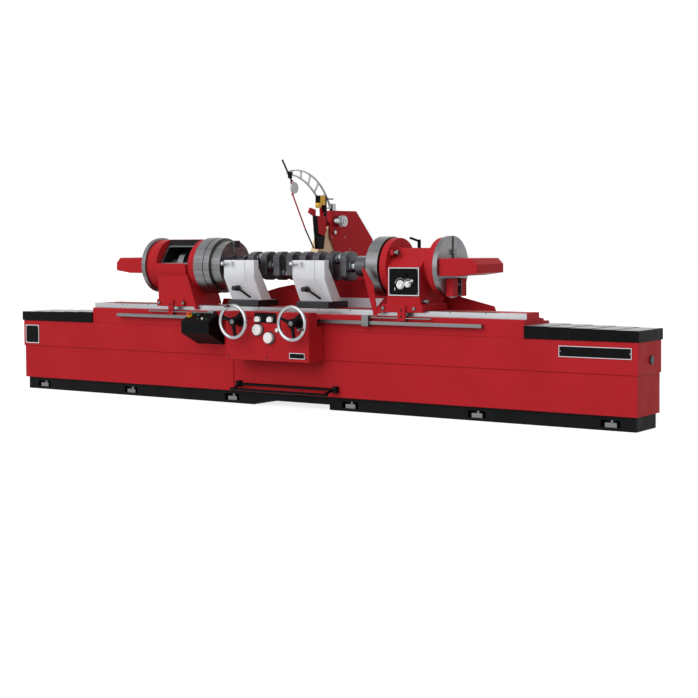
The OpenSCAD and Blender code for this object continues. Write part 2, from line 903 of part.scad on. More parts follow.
// The clamp bracket that carries the guide rod, with the bolts of the head's lip
module head_clamp(x, w, rod_ends, bolt_places) {
    foot_z = table_top - lip_drop;
    difference() {
        block([x, -lip_front - clamp_t, clamp_z], [x + w, -lip_front, clamp_top]);
        rod_x(x - cut, x + w + cut, rod_y0, rod_z0, rod_r + fit_gap);
    }
    rod_x(min(rod_ends), max(rod_ends), rod_y0, rod_z0, rod_r);
    for (bolt_x = bolt_places) {
        rod_y(-lip_front - bolt_head_h, -lip_front, bolt_x, foot_z + lip_h / 2, bolt_r);
        rod_y(-lip_front, -lip_front + bolt_head_h, bolt_x, foot_z + lip_h / 2, bolt_r / 2 - fit_gap);
    }
}
module left_head_fittings() {
    half_h = sqrt(pow(cavity_r, 2) - pow(window_dist, 2));
    x0 = left_head_x + left_wall - window_rim;
    x1 = left_drum_x1 - window_rim;
    color("silver") placed() {
        head_clamp(bracket_places[0], clamp_w[0], left_rod, left_bolt_places);
        on_window() difference() {
            translate([x0, -half_h - window_rim, 0]) cube([x1 + window_rim - x0,
                2 * (half_h + window_rim), bolt_r / 2]);
            translate([x0 + window_rim, -half_h, -cut]) cube([x1 - x0 - window_rim, 2 * half_h,
                2 * bolt_r]);
        }
    }
}

// A spindle with its rear disc; the disc's outer face has a T-slot
module spindle_shaft(x0, x1, disc_x, slot_x) {
    difference() {
        union() {
            spindle_disc(x0, x1, spindle_r);
            spindle_disc(disc_x, disc_x + disc_t, disc_r);
        }
        block([slot_x, spindle_y - slot_w / 2, spindle_z + spindle_r],
            [slot_x + slot_depth, spindle_y + slot_w / 2, spindle_z + disc_r + cut]);
    }
}
module left_spindle() {
    gear_x = left_head_x + left_drum_len / 2;
    color("silver") placed() {
        spindle_shaft(left_disc_x + disc_t - cut, left_chuck_x, left_disc_x, left_disc_x - cut);
        spindle_ring(gear_x, gear_x + gear_t, gear_r, spindle_r + fit_gap);
    }
}
module left_counterweight_arm() {
    color("firebrick") placed() {
        counterweight_arm(left_disc_x, -1);
        block([left_disc_x - weight_t, spindle_y - weight_w / 2, spindle_z - weight_drop - weight_h / 2],
            [left_disc_x, spindle_y + weight_w / 2, spindle_z - weight_drop + weight_h / 2 - cut]);
    }
}
// A box arm on the outer face of a rear disc, bevelled at its free end
module counterweight_arm(x, side) {
    bevel = arm_h / 3;
    outer = [[0, -arm_h / 2], [0, arm_h / 2], [arm_len - bevel, arm_h / 2], [arm_len, arm_h / 2 - bevel],
        [arm_len, -arm_h / 2 + bevel / 2], [arm_len / 2, -arm_h / 2]];
    translate([x, 0, spindle_z])
        along_y(spindle_y - arm_w / 2, spindle_y + arm_w / 2)
            polygon([for (corner = outer) [side * corner.x, corner.y]]);
}
module left_chuck() {
    jaw_low = spindle_z + plate_3_r / 2;
    jaw_top = spindle_z + jaw_top_h;
    color("silver") placed() {
        difference() {
            union() {
                spindle_disc(left_chuck_x, left_chuck_x + plate_1_len, chuck_r);
                spindle_disc(left_chuck_x + plate_1_len, plate_2_x, neck_r);
                spindle_disc(plate_2_x, plate_2_x + plate_2_len, chuck_r - face_gap);
                spindle_disc(plate_2_x + plate_2_len, plate_3_x, neck_r);
                spindle_disc(plate_3_x, plate_3_x + plate_3_len, plate_3_r);
            }
            block([plate_3_x, spindle_y - jaw_arm_w / 2 - fit_gap, jaw_low],
                [plate_3_x + plate_3_len + cut, spindle_y + jaw_arm_w / 2 + fit_gap,
                    spindle_z + chuck_r + cut]);
        }
        block([plate_3_x + fit_gap, spindle_y - jaw_arm_w / 2, jaw_low + slide_gap],
            [jaw_arm_x1, spindle_y + jaw_arm_w / 2, jaw_top - jaw_w / 4]);
    }
}
module crankshaft() {
    train_len = crank_x1 - crank_train_x0 - 2 * plate_3_len;
    pitch = train_len / throws;
    phases = [for (i = [0 : throws - 1]) throw_turn * min(i, throws - 1 - i)];
    color("silver") placed() translate([0, spindle_y, spindle_z]) {
        rod_x(crank_x0, crank_end_x0, 0, 0, crank_end_r);
        rod_x(crank_end_x0, crank_train_x0, 0, 0, main_r);
        for (i = [0 : throws - 1])
            translate([crank_train_x0 + i * pitch, 0, 0]) rotate([phases[i], 0, 0]) crank_throw(pitch);
        rod_x(crank_train_x0 + train_len, crank_x1 - plate_3_len, 0, 0, crank_end_r);
        rod_x(crank_x1 - plate_3_len, crank_x1 - slide_gap, 0, 0, main_r);
    }
}
// One throw: a web, the pin, a web and the next main journal
module crank_throw(pitch) {
    pin_len = (pitch - 2 * web_t) / 2;
    for (x = [0, web_t + pin_len])
        intersection() {
            rod_x(x, x + web_t, 0, 0, swing_r);
            block([x, -web_half_w, -swing_r], [x + web_t, web_half_w, swing_r]);
        }
    rod_x(web_t, web_t + pin_len, 0, throw, pin_r);
    rod_x(2 * web_t + pin_len, pitch, 0, 0, main_r);
}

module right_head_casting() {
    foot_z = table_top - lip_drop;
    color("firebrick") placed() difference() {
        union() {
            along_x(right_head_x, right_body_x1) polygon([
                [0, table_top + waist_z], [0, table_top + shoulder_h], [body_slope_y,
                    table_top + body_top_h],
                [head_rear, table_top + body_top_h], [head_rear + lip_h, table_top + shoulder_h],
                [head_rear, table_top + waist_z], [head_rear, foot_z], [0, foot_z]
            ]);
            block([clamp_block_x0, -lip_front, foot_z], [clamp_block_x1, head_rear, foot_z + lip_h]);
            spindle_disc(right_head_x - ring_t - cut, right_head_x, guard_r);
            spindle_disc(right_body_x1, right_body_x1 + right_neck_len, right_neck_r);
            spindle_disc(right_body_x1 + right_neck_len, right_body_x1 + right_neck_len + ring_t, guard_r);
            block([plunger_bracket_x0, plunger_y - plunger_r - cut,
                spindle_z + plunger_z - plunger_r - cut],
                [plunger_bracket_x0 + plunger_bracket_w, plunger_bracket_y,
                    spindle_z + plunger_z + plunger_r + cut]);
        }
        table_space(clamp_block_x0 - lip_h, clamp_block_x1 + lip_h);
        spindle_disc(right_head_x - ring_t - 2 * cut, right_body_x1 + right_neck_len + ring_t + cut,
            spindle_r + fit_gap);
        rod_x(plunger_x0 - cut, plunger_bracket_x0 - cut, plunger_y, spindle_z + plunger_z,
            plunger_pin_r + fit_gap);
        rod_x(right_head_x, plunger_x1 + lip_h, plunger_y, spindle_z + plunger_z, plunger_r + fit_gap);
        for (x = right_bolt_places)
            rod_y(-lip_front - cut, -lip_front + bolt_head_h, x, foot_z + lip_h / 2, bolt_r / 2);
        for (place = [[dial_x, dial_z], [selector_x, selector_z]])
            rod_y(-cut, knob_shaft_in, right_head_x + place.x, table_top + place.y, knob_shaft_r + fit_gap);
        rod_z(table_top + body_top_h - post_in, table_top + body_top_h + cut, post_x, spindle_y,
            post_r + fit_gap);
    }
}
module right_head_fittings() {
    color("silver") placed() {
        head_clamp(bracket_places[1], clamp_w[1], right_rod, right_bolt_places);
        rod_x(right_body_x1, right_body_x1 + 2 * side_knob_r, side_knob_y, table_top + side_knob_z,
            side_knob_r);
    }
}

module control_plate() {
    x0 = right_head_x + control_x;
    z0 = table_top + control_z;
    color("dimgray") placed() {
        difference() {
            block([x0, -control_t, z0], [x0 + control_w, 0, z0 + control_h]);
            block([x0 + control_rim, -control_t - cut, z0 + control_rim],
                [x0 + control_w - control_rim, -control_t / 2, z0 + control_h - control_rim]);
            for (place = [[dial_x, dial_z], [selector_x, selector_z]])
                rod_y(-control_t - cut, cut, right_head_x + place.x, table_top + place.y,
                    knob_shaft_r + fit_gap);
        }
        rod_y(-control_t - indicator_r, -control_t / 2, right_head_x + indicator_x, table_top + indicator_z,
            indicator_r);
    }
}
module speed_dial() {
    color("white") placed() plate_knob(dial_x, dial_z, dial_r);
}
module plate_knob(x, z, r) {
    face = -control_t - slide_gap;
    rod_y(face - dial_t, face, right_head_x + x, table_top + z, r);
    rod_y(face, knob_shaft_in - cut, right_head_x + x, table_top + z, knob_shaft_r);
}
module selector_lever() {
    hub = [right_head_x + selector_x, -control_t - dial_t, table_top + selector_z];
    color("white") placed() {
        plate_knob(selector_x, selector_z, selector_r);
        rod(hub, hub + lever_tip, lever_r / 2);
        translate(hub + lever_tip) sphere(r = lever_r);
    }
}
module index_plunger() {
    color("silver") placed() {
        rod_x(plunger_x0, right_head_x + cut, plunger_y, spindle_z + plunger_z, plunger_pin_r);
        rod_x(right_head_x + cut, plunger_x1, plunger_y, spindle_z + plunger_z, plunger_r);
        rod_x(plunger_x1, plunger_x1 + plunger_r, plunger_y, spindle_z + plunger_z, plunger_r + cut);
    }
}
module head_clamp_lever() {
    top = table_top + body_top_h + post_h;
    color("black") placed() {
        rod_z(table_top + body_top_h - post_in + slide_gap, top, post_x, spindle_y, post_r);
        rod([post_x, spindle_y, top - post_r], [post_x, spindle_y, top - post_r] + post_arm, lever_r);
    }
}

// Folded sheet in front of the right chuck, from its foot to its tip
module chuck_guard() {
    foot_z = table_top - 3 * lip_drop;
    tilt = atan((-lip_front - 2 * guard_sheet_t - guard_tip_y) / guard_tip_h);
    color("firebrick") placed() {
        translate([0, -lip_front - guard_sheet_t, foot_z]) rotate([tilt, 0, 0])
            along_y(-guard_sheet_t, 0) polygon([
                [fold_foot[0], 0], [fold_foot[1], 0], [guard_wing_x - lip_front, guard_wing_h],
                [fold_tip[1], guard_tip_h - lip_front], [fold_tip[0], guard_tip_h]
            ]);
        block([fold_foot[1] - 2 * guard_sheet_t, -lip_front - 2 * guard_sheet_t, foot_z + lip_drop],
            [clamp_block_x0, -lip_front, foot_z + lip_h]);
    }
}

module right_spindle() {
    color("silver") placed()
        spindle_shaft(right_chuck_x + right_chuck_len, right_disc_x + disc_t, right_disc_x,
            right_disc_x + disc_t - slot_depth);
}
module right_chuck() {
    color("silver") placed() difference() {
        union() {
            spindle_disc(right_chuck_x + slot_depth, right_chuck_x + right_chuck_len, chuck_r);
            spindle_disc(right_chuck_x, right_chuck_x + slot_depth, neck_r);
        }
        for (turn = [0, 90, 180, 270])
            translate([0, spindle_y, spindle_z]) rotate([turn, 0, 0])
                block([right_chuck_x - cut, -slot_w / 2, main_r + slot_w], [right_chuck_x + slot_depth,
                    slot_w / 2, chuck_r]);
    }
}
module right_counterweight_arm() {
    x = right_disc_x + disc_t;
    low = spindle_z - weight_drop;
    color("firebrick") placed() {
        counterweight_arm(x, 1);
        block([x, spindle_y - weight_w, low - weight_h], [x + weight_t, spindle_y - slot_w,
            low + weight_h / 2]);
        block([x, spindle_y + slot_w, low - weight_h], [x + weight_t, spindle_y + weight_w,
            low + weight_h / 2]);
        rod_y(spindle_y - slot_w, spindle_y + slot_w, x + weight_t / 2, low, balance_rod_r);
        block([x, spindle_y - nut_w / 2, spindle_z + arm_h / 2 + slot_w],
            [x + slot_w, spindle_y + nut_w / 2, spindle_z + arm_h / 2 + slot_w + nut_w]);
    }
}

// A steady rest: a leaning casting on a base plate that clamps to the table
module steady(x) {
    base_z = table_top + slide_gap;
    foot_z = table_top + steady_base_h;
    hub = x + steady_knob_x + steady_bar_len;
    pin_z = table_top + steady_knob_h;
    placed() {
        difference() {
            along_x(x, x + steady_w) polygon([
                [steady_base_y, foot_z + fit_gap], [steady_front, table_top + steady_crease_h],
                [steady_front, table_top + steady_top_h], [steady_top_y, table_top + steady_top_h],
                [steady_top_y, table_top + steady_back_h], [steady_rear_y, foot_z + fit_gap]
            ]);
            block([x + steady_groove_x, steady_front - cut, foot_z], [x + steady_groove_x + seam_w,
                steady_front + cut, spindle_z + steady_top_h]);
            rod_x(x - cut, x + steady_w + cut, spindle_y, spindle_z, swing_r + cut);
            rod_y(lower_knob_y - cut, lower_knob_y + lower_shaft_in, x + lower_knob_dx,
                table_top + lower_knob_h,
                knob_shaft_r + fit_gap);
        }
        block([x, steady_foot_front, base_z], [x + steady_w, steady_foot_rear, foot_z]);
        difference() {
            block([hub, steady_front - 2 * steady_boss_r, pin_z - steady_boss_r],
                [hub + 2 * steady_bar_r, steady_front, pin_z + steady_boss_r]);
            rod_x(hub - cut, hub + 2 * steady_bar_r + cut, steady_front - ball_r - face_gap, pin_z,
                steady_bar_r + fit_gap);
        }
    }
}
module left_steady() { color("gainsboro") steady(left_steady_x); }
module right_steady() { color("gainsboro") steady(right_steady_x); }

// The clamp knob low on a steady, with its lever, in front of the slanted face
module steady_knob(x) {
    z = table_top + lower_knob_h;
    knob_x = x + lower_knob_dx;
    color("silver") placed() {
        rod_y(lower_knob_y - lower_boss_t - 2 * lower_boss_r, lower_knob_y - lower_boss_t, knob_x, z,
            steady_boss_r);
        rod_y(lower_knob_y - lower_boss_t, lower_knob_y, knob_x, z, lower_boss_r);
        rod_y(lower_knob_y, lower_knob_y + lower_shaft_in - cut, knob_x, z, knob_shaft_r);
        rod([knob_x, lower_knob_y - lower_boss_t / 2, z],
            [knob_x + lever_dx, lower_knob_y - lower_boss_t - lever_r, z - lever_drop], lever_r);
    }
}
module left_steady_knob() { steady_knob(left_steady_x); }
module right_steady_knob() { steady_knob(right_steady_x); }

// The upper lock pin of a steady: a thin bar with a ball, which pulls out of its bracket
module steady_lever(x) {
    y = steady_front - ball_r - face_gap;
    z = table_top + steady_knob_h;
    hub = x + steady_knob_x + steady_bar_len;
    color("black") placed() {
        translate([x + steady_knob_x - ball_r, y, z]) rotate([0, 0, 180]) sphere(r = ball_r);
        rod_x(x + steady_knob_x - ball_r, hub + 2 * steady_bar_r, y, z, steady_bar_r);
    }
}
module left_steady_lever() { steady_lever(left_steady_x); }
module right_steady_lever() { steady_lever(right_steady_x); }

module wheelhead_casting() {
    base_z = slide_z + rear_way_h;
    base_top = rear_bed_h + wheelhead_base_h;
    color("firebrick") placed() difference() {
        union() {
            block([wheelhead_base_x, wheelhead_base_y0, base_z], [wheelhead_x + wheelhead_len,
                wheelhead_base_y1, base_top]);
            block([wheelhead_x, wheelhead_y0, base_top], [wheelhead_x + wheelhead_len, wheelhead_y1,
                base_top + wheelhead_h]);
            block([guard_x, guard_front_low + cut, base_top], [wheelhead_x, wheelhead_y1, guard_bottom]);
        }
        rod_x(wheelhead_x - cut, wheelhead_x + wheel_shaft_len, wheel_y, spindle_z,
            wheel_shaft_r + fit_gap);
        rod_x(guard_x + wheel_guard_wall, wheelhead_x - wheel_guard_wall, wheel_y, spindle_z,
            wheel_r + wheel_clear);
    }
}
module wheel_guard() {
    color("firebrick") placed() difference() {
        along_x(guard_x, wheelhead_x) polygon([
            [guard_front_top, guard_top], [guard_rear_top, guard_top], [guard_rear, guard_shoulder],
            [guard_rear, guard_bottom], [guard_front_low, guard_bottom], [guard_front_low, guard_low_z],
            [guard_front_mouth, guard_mouth_bottom], [guard_front_mouth, guard_mouth_top],
            [guard_front_mid, guard_mid_z]
        ]);
        rod_x(guard_x + wheel_guard_wall, wheelhead_x - wheel_guard_wall, wheel_y, spindle_z,
            wheel_r + wheel_clear);
        rod_x(guard_x + wheel_guard_wall, wheelhead_x + cut, wheel_y, spindle_z, wheel_shaft_r + cut);
    }
}
module guard_fittings() {
    color("dimgray") placed() {
        rod_x(wheelhead_x, wheelhead_x + feed_len, feed_y + feed_r, feed_z, feed_r);
        rod_x(wheelhead_x, wheelhead_x + feed_button_r, feed_y + feed_button_r, feed_button_z,
            feed_button_r);
        for (x = [boom_x - boom_t / 2 - slide_gap - ear_t, boom_x + boom_t / 2 + slide_gap])
            block([x, boom_pivot.x - 2 * pivot_r, guard_top], [x + ear_t, boom_pivot.x + 2 * pivot_r,
                boom_pivot.y + 2 * pivot_r]);
        rod_x(boom_x - boom_t / 2 - ear_t, boom_x + boom_t / 2 + ear_t, boom_pivot.x, boom_pivot.y,
            pivot_r);
    }
}
module grinding_wheel() {
    color("wheat") placed() difference() {
        rod_x(wheel_x, wheel_x + wheel_w, wheel_y, spindle_z, wheel_r);
        rod_x(wheel_x - cut, wheel_x + wheel_w + cut, wheel_y, spindle_z, wheel_shaft_r + fit_gap);
    }
}
module wheel_spindle() {
    color("silver") placed() {
        rod_x(wheel_x - wheel_flange_t, wheelhead_x + wheel_shaft_len - cut, wheel_y, spindle_z,
            wheel_shaft_r);
        for (x = [wheel_x - wheel_flange_t, wheel_x + wheel_w])
            rod_x(x, x + wheel_flange_t, wheel_y, spindle_z, wheel_flange_r);
    }
}

// The curved lattice boom, hinged on top of the wheel guard
module gauge_boom() {
    x0 = boom_x - boom_t / 2;
    x1 = boom_x + boom_t / 2;
    color("silver") placed() {
        difference() {
            union() {
                along_x(x0, x1) difference() {
                    boom_outline(0);
                    difference() {
                        boom_outline(strut_w);
                        for (turn = [boom_end : boom_pitch : boom_top])
                            translate(boom_out) rotate(turn) translate([0,
                                -strut_w / 2]) square([boom_out_r, strut_w]);
                    }
                }
                rod_x(x0, x1, boom_pivot.x, boom_pivot.y, 2 * pivot_r);
                strut(boom_pivot, boom_out + (boom_out_r - strut_w) * [cos(boom_end), sin(boom_end)],
                    2 * pivot_r, x0, x1);
            }
            rod_x(x0 - cut, x1 + cut, boom_pivot.x, boom_pivot.y, pivot_r + fit_gap);
        }
    }
}
module boom_outline(inset) {
    intersection() {
        difference() {
            translate(boom_out) circle(r = boom_out_r - inset);
            translate(boom_in) circle(r = boom_in_r + inset);
        }
        translate([boom_tip_y + inset, boom_pivot.y - 2 * strut_w + inset])
            square([boom_out_r * 2, boom_out_r]);
    }
}
module gauge_fittings() {
    x0 = boom_x + boom_t / 2;
    xm = x0 + boom_t / 2;
    color("firebrick") placed() {
        rod([xm, handle_top.x, handle_top.y], [xm, handle_low.x, handle_low.y], handle_rod_r);
        rod_x(x0, x0 + boom_t, dial_place.x, dial_place.y, gauge_dial_r);
        block([x0, boom_tip_y, handle_low.y + 2 * strut_w], [x0 + boom_t, handle_low.x,
            handle_low.y + 7 * strut_w]);
        strut(handle_low, dial_place, 3 * strut_w, x0, x0 + boom_t);
        for (i = [0, 1])
            rod([xm, gauge_rod[i].x, gauge_rod[i].y], [xm, gauge_rod[i + 1].x, gauge_rod[i + 1].y],
                gauge_rod_r);
        strut(dial_place, gauge_rod[0] + [0, -strut_w], 3 * gauge_rod_r, x0, x0 + boom_t);
        translate([xm, gauge_rod[1].x, gauge_rod[1].y]) sphere(r = handle_rod_r);
        strut([boom_block[0].x, cross_rod_z], [boom_pivot.x - 2 * strut_w, cross_rod_z], strut_w, x0,
            x0 + boom_t);
        along_x(x0, x0 + gauge_body_t) polygon(boom_block);
        rod_x(x0 + boom_t, x0 + gauge_body_t, yellow_knob.x, yellow_knob.y, yellow_knob_r);
        along_x(x0, x0 + gauge_body_t) polygon(gauge_body);
        along_x(x0, x0 + gauge_arm_t) polygon(gauge_arm);
        along_x(x0, x0 + boom_t) polygon(gauge_cap);
        strut(boom_block[1] + [-strut_w, strut_w], gauge_body[1] - [strut_w, strut_w], 2 * strut_w, x0,
            x0 + boom_t);
    }
}

// A handwheel: rim, hub, three spokes, handle and the shaft in the apron
module handwheel(x, turn) {
    color("silver") placed() translate([x, handwheel_y, handwheel_z]) {
        rotate([90, 0, 0]) rotate_extrude() translate([handwheel_r, 0]) circle(r = rim_r);
        rod_y(-hub_len / 2, handwheel_gap - collar_t, 0, 0, hub_r);
        rod_y(handwheel_gap - collar_t, handwheel_gap - slide_gap, 0, 0, collar_r);
        rod_y(handwheel_gap - slide_gap, handwheel_gap + shaft_in, 0, 0, shaft_r);
        for (spoke = [0, 120, 240])
            rotate([0, turn + spoke, 0]) translate([hub_r - cut, -spoke_t / 2, -spoke_w / 2])
                cube([handwheel_r - hub_r, spoke_t, spoke_w]);
        rotate([0, turn + 60, 0]) rod_y(-handle_len, 0, handwheel_r, 0, handle_r);
    }
}
module traverse_handwheel() { handwheel(traverse_x, traverse_turn); }
module infeed_handwheel() { handwheel(infeed_x, infeed_turn); }

// A round knob on the apron, with its collar
module round_knob(x, z) {
    color("white") placed() {
        rod_y(-apron_depth - round_knob_len, -apron_depth - round_collar_t, x, z, knob_r);
        rod_y(-apron_depth - round_collar_t, -apron_depth - slide_gap, x, z, round_collar_r);
        rod_y(-apron_depth - slide_gap, -apron_depth + knob_shaft_in - cut, x, z, knob_shaft_r);
    }
}
module upper_round_knob() { round_knob(upper_knob_x, upper_knob_z); }
module lower_round_knob() { round_knob(lower_knob_x, lower_knob_z); }

// A half-round knob on the black panel
module panel_knob(x) {
    face = -apron_depth - panel_t - slide_gap;
    color("white") placed() {
        difference() {
            rod_y(face - panel_knob_len, face, x, panel_knob_z, panel_knob_r);
            block([x - panel_knob_r - cut, face - panel_knob_len - cut, panel_knob_z - panel_knob_r - cut],
                [x + panel_knob_r + cut, face + cut, panel_knob_z - knob_shaft_r - cut]);
        }
        rod_y(face, -apron_depth + knob_shaft_in - cut, x, panel_knob_z, knob_shaft_r);
    }
}
module left_panel_knob() { panel_knob(left_panel_knob_x); }
module right_panel_knob() { panel_knob(right_panel_knob_x); }

bed_casting();
bed_plinth();
levelling_feet();
guide_ways();
rear_bed();
apron_box();
apron_panel();
blank_plates();
control_desk();
splash_guards();
drip_plate();
foot_bar_brackets();
foot_bar();
table_casting();
table_rail();
trip_bar();
left_way_cover();
right_way_cover();
left_trip_dog();
right_trip_dog();
left_head_casting();
left_head_fittings();
left_spindle();
left_chuck();
left_counterweight_arm();
crankshaft();
right_head_casting();
right_head_fittings();
control_plate();
chuck_guard();
index_plunger();
head_clamp_lever();
speed_dial();
selector_lever();
right_spindle();
right_chuck();
right_counterweight_arm();
left_steady();
left_steady_knob();
left_steady_lever();
right_steady();
right_steady_knob();
right_steady_lever();
wheelhead_casting();
wheel_guard();
guard_fittings();
grinding_wheel();
wheel_spindle();
gauge_boom();
gauge_fittings();
traverse_handwheel();
infeed_handwheel();
upper_round_knob();
lower_round_knob();
left_panel_knob();
right_panel_knob();
emergency_stop();
start_button();
stop_button();
jog_button();
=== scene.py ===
"""Looks of the crankshaft grinding machine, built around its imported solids.

Lengths in the tables are millimetres. X runs along the bed, Y back from its front face, Z up.
"""

import json
import math

import bmesh
import bpy
from mathutils import Matrix, Vector

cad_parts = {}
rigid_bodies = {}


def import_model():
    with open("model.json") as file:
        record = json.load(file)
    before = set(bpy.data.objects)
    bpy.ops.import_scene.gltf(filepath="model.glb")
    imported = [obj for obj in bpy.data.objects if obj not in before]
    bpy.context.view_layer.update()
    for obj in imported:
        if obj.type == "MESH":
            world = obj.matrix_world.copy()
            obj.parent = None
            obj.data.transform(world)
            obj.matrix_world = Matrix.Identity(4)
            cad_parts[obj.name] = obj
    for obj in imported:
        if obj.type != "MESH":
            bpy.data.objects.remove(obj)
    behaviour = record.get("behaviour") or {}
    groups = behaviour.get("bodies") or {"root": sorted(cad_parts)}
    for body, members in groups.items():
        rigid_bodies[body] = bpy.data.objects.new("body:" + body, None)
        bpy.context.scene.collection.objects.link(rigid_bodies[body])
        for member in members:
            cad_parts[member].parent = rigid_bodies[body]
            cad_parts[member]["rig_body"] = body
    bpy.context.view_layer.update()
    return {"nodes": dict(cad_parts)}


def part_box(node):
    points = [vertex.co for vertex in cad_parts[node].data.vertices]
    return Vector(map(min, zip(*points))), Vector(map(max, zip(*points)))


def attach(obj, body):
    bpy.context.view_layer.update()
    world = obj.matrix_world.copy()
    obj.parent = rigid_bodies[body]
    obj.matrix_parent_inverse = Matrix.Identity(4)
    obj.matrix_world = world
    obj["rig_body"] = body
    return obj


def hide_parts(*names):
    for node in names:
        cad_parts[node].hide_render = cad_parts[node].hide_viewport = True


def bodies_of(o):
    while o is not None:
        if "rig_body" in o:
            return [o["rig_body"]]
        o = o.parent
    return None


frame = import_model()
MM = 0.001

# Frame Y of the bed's front face, and the spindle axis by its Y from that face and its height
BED_FRONT = -635
SPINDLE = (200, 1121)

# Y of the front faces of the apron, its black panel, the control plate and the clamp brackets
APRON_Y, PANEL_Y, CONTROL_Y, BRACKET_Y = -200, -203, -8, -42

# Crankshaft: distance of a crank pin from the axis, radius of a pin and reach of the journals
CRANK_THROW, CRANK_PIN, CRANK_JOURNAL = 58, 42, 50

# Edges that turn by more degrees than this are sharp, or rounded where a piece has a width for it
SHARP_ANGLE = 32

# Camera, solved from the photograph: a focal length in pixels, a place in metres, angles in radians
PHOTO_SIDE, FOCAL_PIXELS, SENSOR_WIDTH = 698, 1482.77, 36
CAMERA_PLACE = (7.14505, -9.96458, 1.32384)
YAW, PITCH, ROLL = 0.611069, 0.0417836, -0.006188


def aimed_camera():
    """The photograph's camera: it looks along the yaw and the pitch and is turned by the roll."""
    data = bpy.data.cameras.new("camera")
    camera = bpy.data.objects.new("camera", data)
    bpy.context.scene.collection.objects.link(camera)
    bpy.context.scene.camera = camera
    data.sensor_width = SENSOR_WIDTH
    data.lens = SENSOR_WIDTH * FOCAL_PIXELS / PHOTO_SIDE
    data.shift_x = 0.0001
    data.shift_y = -0.0669
    data.clip_end = 200
    ahead = Vector((-math.sin(YAW) * math.cos(PITCH), math.cos(YAW) * math.cos(PITCH),
                    -math.sin(PITCH)))
    right = Vector((math.cos(YAW), math.sin(YAW), 0))
    above = right.cross(ahead)
    rolled_right = math.cos(ROLL) * right + math.sin(ROLL) * above
    rolled_above = math.cos(ROLL) * above - math.sin(ROLL) * right
    turn = Matrix((rolled_right, rolled_above, -ahead)).transposed().to_4x4()
    camera.matrix_world = Matrix.Translation(CAMERA_PLACE) @ turn


aimed_camera()


# Materials
def linear(red, green, blue):
    """Scene colour of an sRGB colour with values up to 255."""
    def channel(value):
        value /= 255
        return value / 12.92 if value <= 0.04045 else ((value + 0.055) / 1.055) ** 2.4
    return (channel(red), channel(green), channel(blue), 1)


class Nodes:
    """Short calls that build one material's nodes."""

    def __init__(self, name):
        self.material = bpy.data.materials.new(name)
        self.material.use_nodes = True
        self.tree = self.material.node_tree
        self.shader = self.tree.nodes["Principled BSDF"]
        self.place = self.add("ShaderNodeTexCoord").outputs["Object"]

    def add(self, kind, **settings):
        """A new node; a setting is one of its properties or else the value of an input."""
        node = self.tree.nodes.new(kind)
        for key, value in settings.items():
            if hasattr(node, key):
                setattr(node, key, value)
            else:
                node.inputs[key.replace("_", " ")].default_value = value
        return node

    def link(self, source, target):
        self.tree.links.new(source, target)

    def stretched(self, scale):
        node = self.add("ShaderNodeMapping")
        node.inputs["Scale"].default_value = scale
        self.link(self.place, node.inputs["Vector"])
        return node.outputs["Vector"]

    def noise(self, scale, detail, stretch=None):
        node = self.add("ShaderNodeTexNoise", Scale=scale, Detail=detail)
        self.link(self.stretched(stretch) if stretch else self.place, node.inputs["Vector"])
        return node.outputs["Fac"]

    def ranged(self, source, low, high, start=0.3, end=0.7):
        """The source's range from start to end, mapped to the one from low to high."""
        node = self.add("ShaderNodeMapRange")
        limits = {"From Min": start, "From Max": end, "To Min": low, "To Max": high}
        for key, value in limits.items():
            node.inputs[key].default_value = value
        self.link(source, node.inputs["Value"])
        return node.outputs["Result"]

    def mixed(self, factor, first, second):
        """A mix of two colours; inputs 6 and 7 and output 2 are the node's colour sockets."""
        node = self.add("ShaderNodeMix", data_type="RGBA")
        self.link(factor, node.inputs[0])
        for socket, value in ((node.inputs[6], first), (node.inputs[7], second)):
            if isinstance(value, tuple):
                socket.default_value = value
            else:
                self.link(value, socket)
        return node.outputs[2]

    def bumped(self, source, strength, distance):
        node = self.add("ShaderNodeBump", Strength=strength, Distance=distance)
        self.link(source, node.inputs["Height"])
        return node.outputs["Normal"]

    def edges(self, radius):
        """Mask of the worn edges, from the turn of the normal near them."""
        bevel = self.add("ShaderNodeBevel", samples=6, Radius=radius)
        turn = self.add("ShaderNodeVectorMath", operation="DOT_PRODUCT")
        self.link(bevel.outputs["Normal"], turn.inputs[0])
        self.link(self.add("ShaderNodeNewGeometry").outputs["Normal"], turn.inputs[1])
        return self.ranged(turn.outputs["Value"], 1, 0, 0.88, 0.98)


def finish_of(name, colour, second, rough, grain, metal=0.0, specular=0.5,
              bump=(400.0, 0.1, 0.0005), stretch=None, worn=None, edge=0.003, wear_amount=0.6,
              anisotropic=0.0):
    """A painted, metal or plastic finish: two tones, uneven gloss, fine relief and worn edges.

    The roughness lies between the two values of rough. Grain is the scale of the tones' noise,
    bump the scale, strength and depth of the relief, and worn the colour of the worn edges.
    """
    made = Nodes(name)
    shader = made.shader
    grainy = made.ranged(made.noise(grain, 5.0, stretch), 0, 1)
    tone = made.mixed(grainy, linear(*colour), linear(*second))
    if worn:
        patchy = made.ranged(made.noise(grain * 4, 4.0), 0, wear_amount, 0.45, 0.62)
        mask = made.add("ShaderNodeMath", operation="MULTIPLY")
        made.link(made.edges(edge), mask.inputs[0])
        made.link(patchy, mask.inputs[1])
        tone = made.mixed(mask.outputs[0], tone, linear(*worn))
    made.link(tone, shader.inputs["Base Color"])
    uneven = made.ranged(made.noise(grain * 2.3, 4.0, stretch), *rough)
    made.link(uneven, shader.inputs["Roughness"])
    bump_scale, bump_strength, bump_depth = bump
    relief = made.bumped(made.noise(bump_scale, 2.0, stretch), bump_strength, bump_depth)
    made.link(relief, shader.inputs["Normal"])
    shader.inputs["Metallic"].default_value = metal
    shader.inputs["Specular IOR Level"].default_value = specular
    shader.inputs["Anisotropic"].default_value = anisotropic
    return made.material


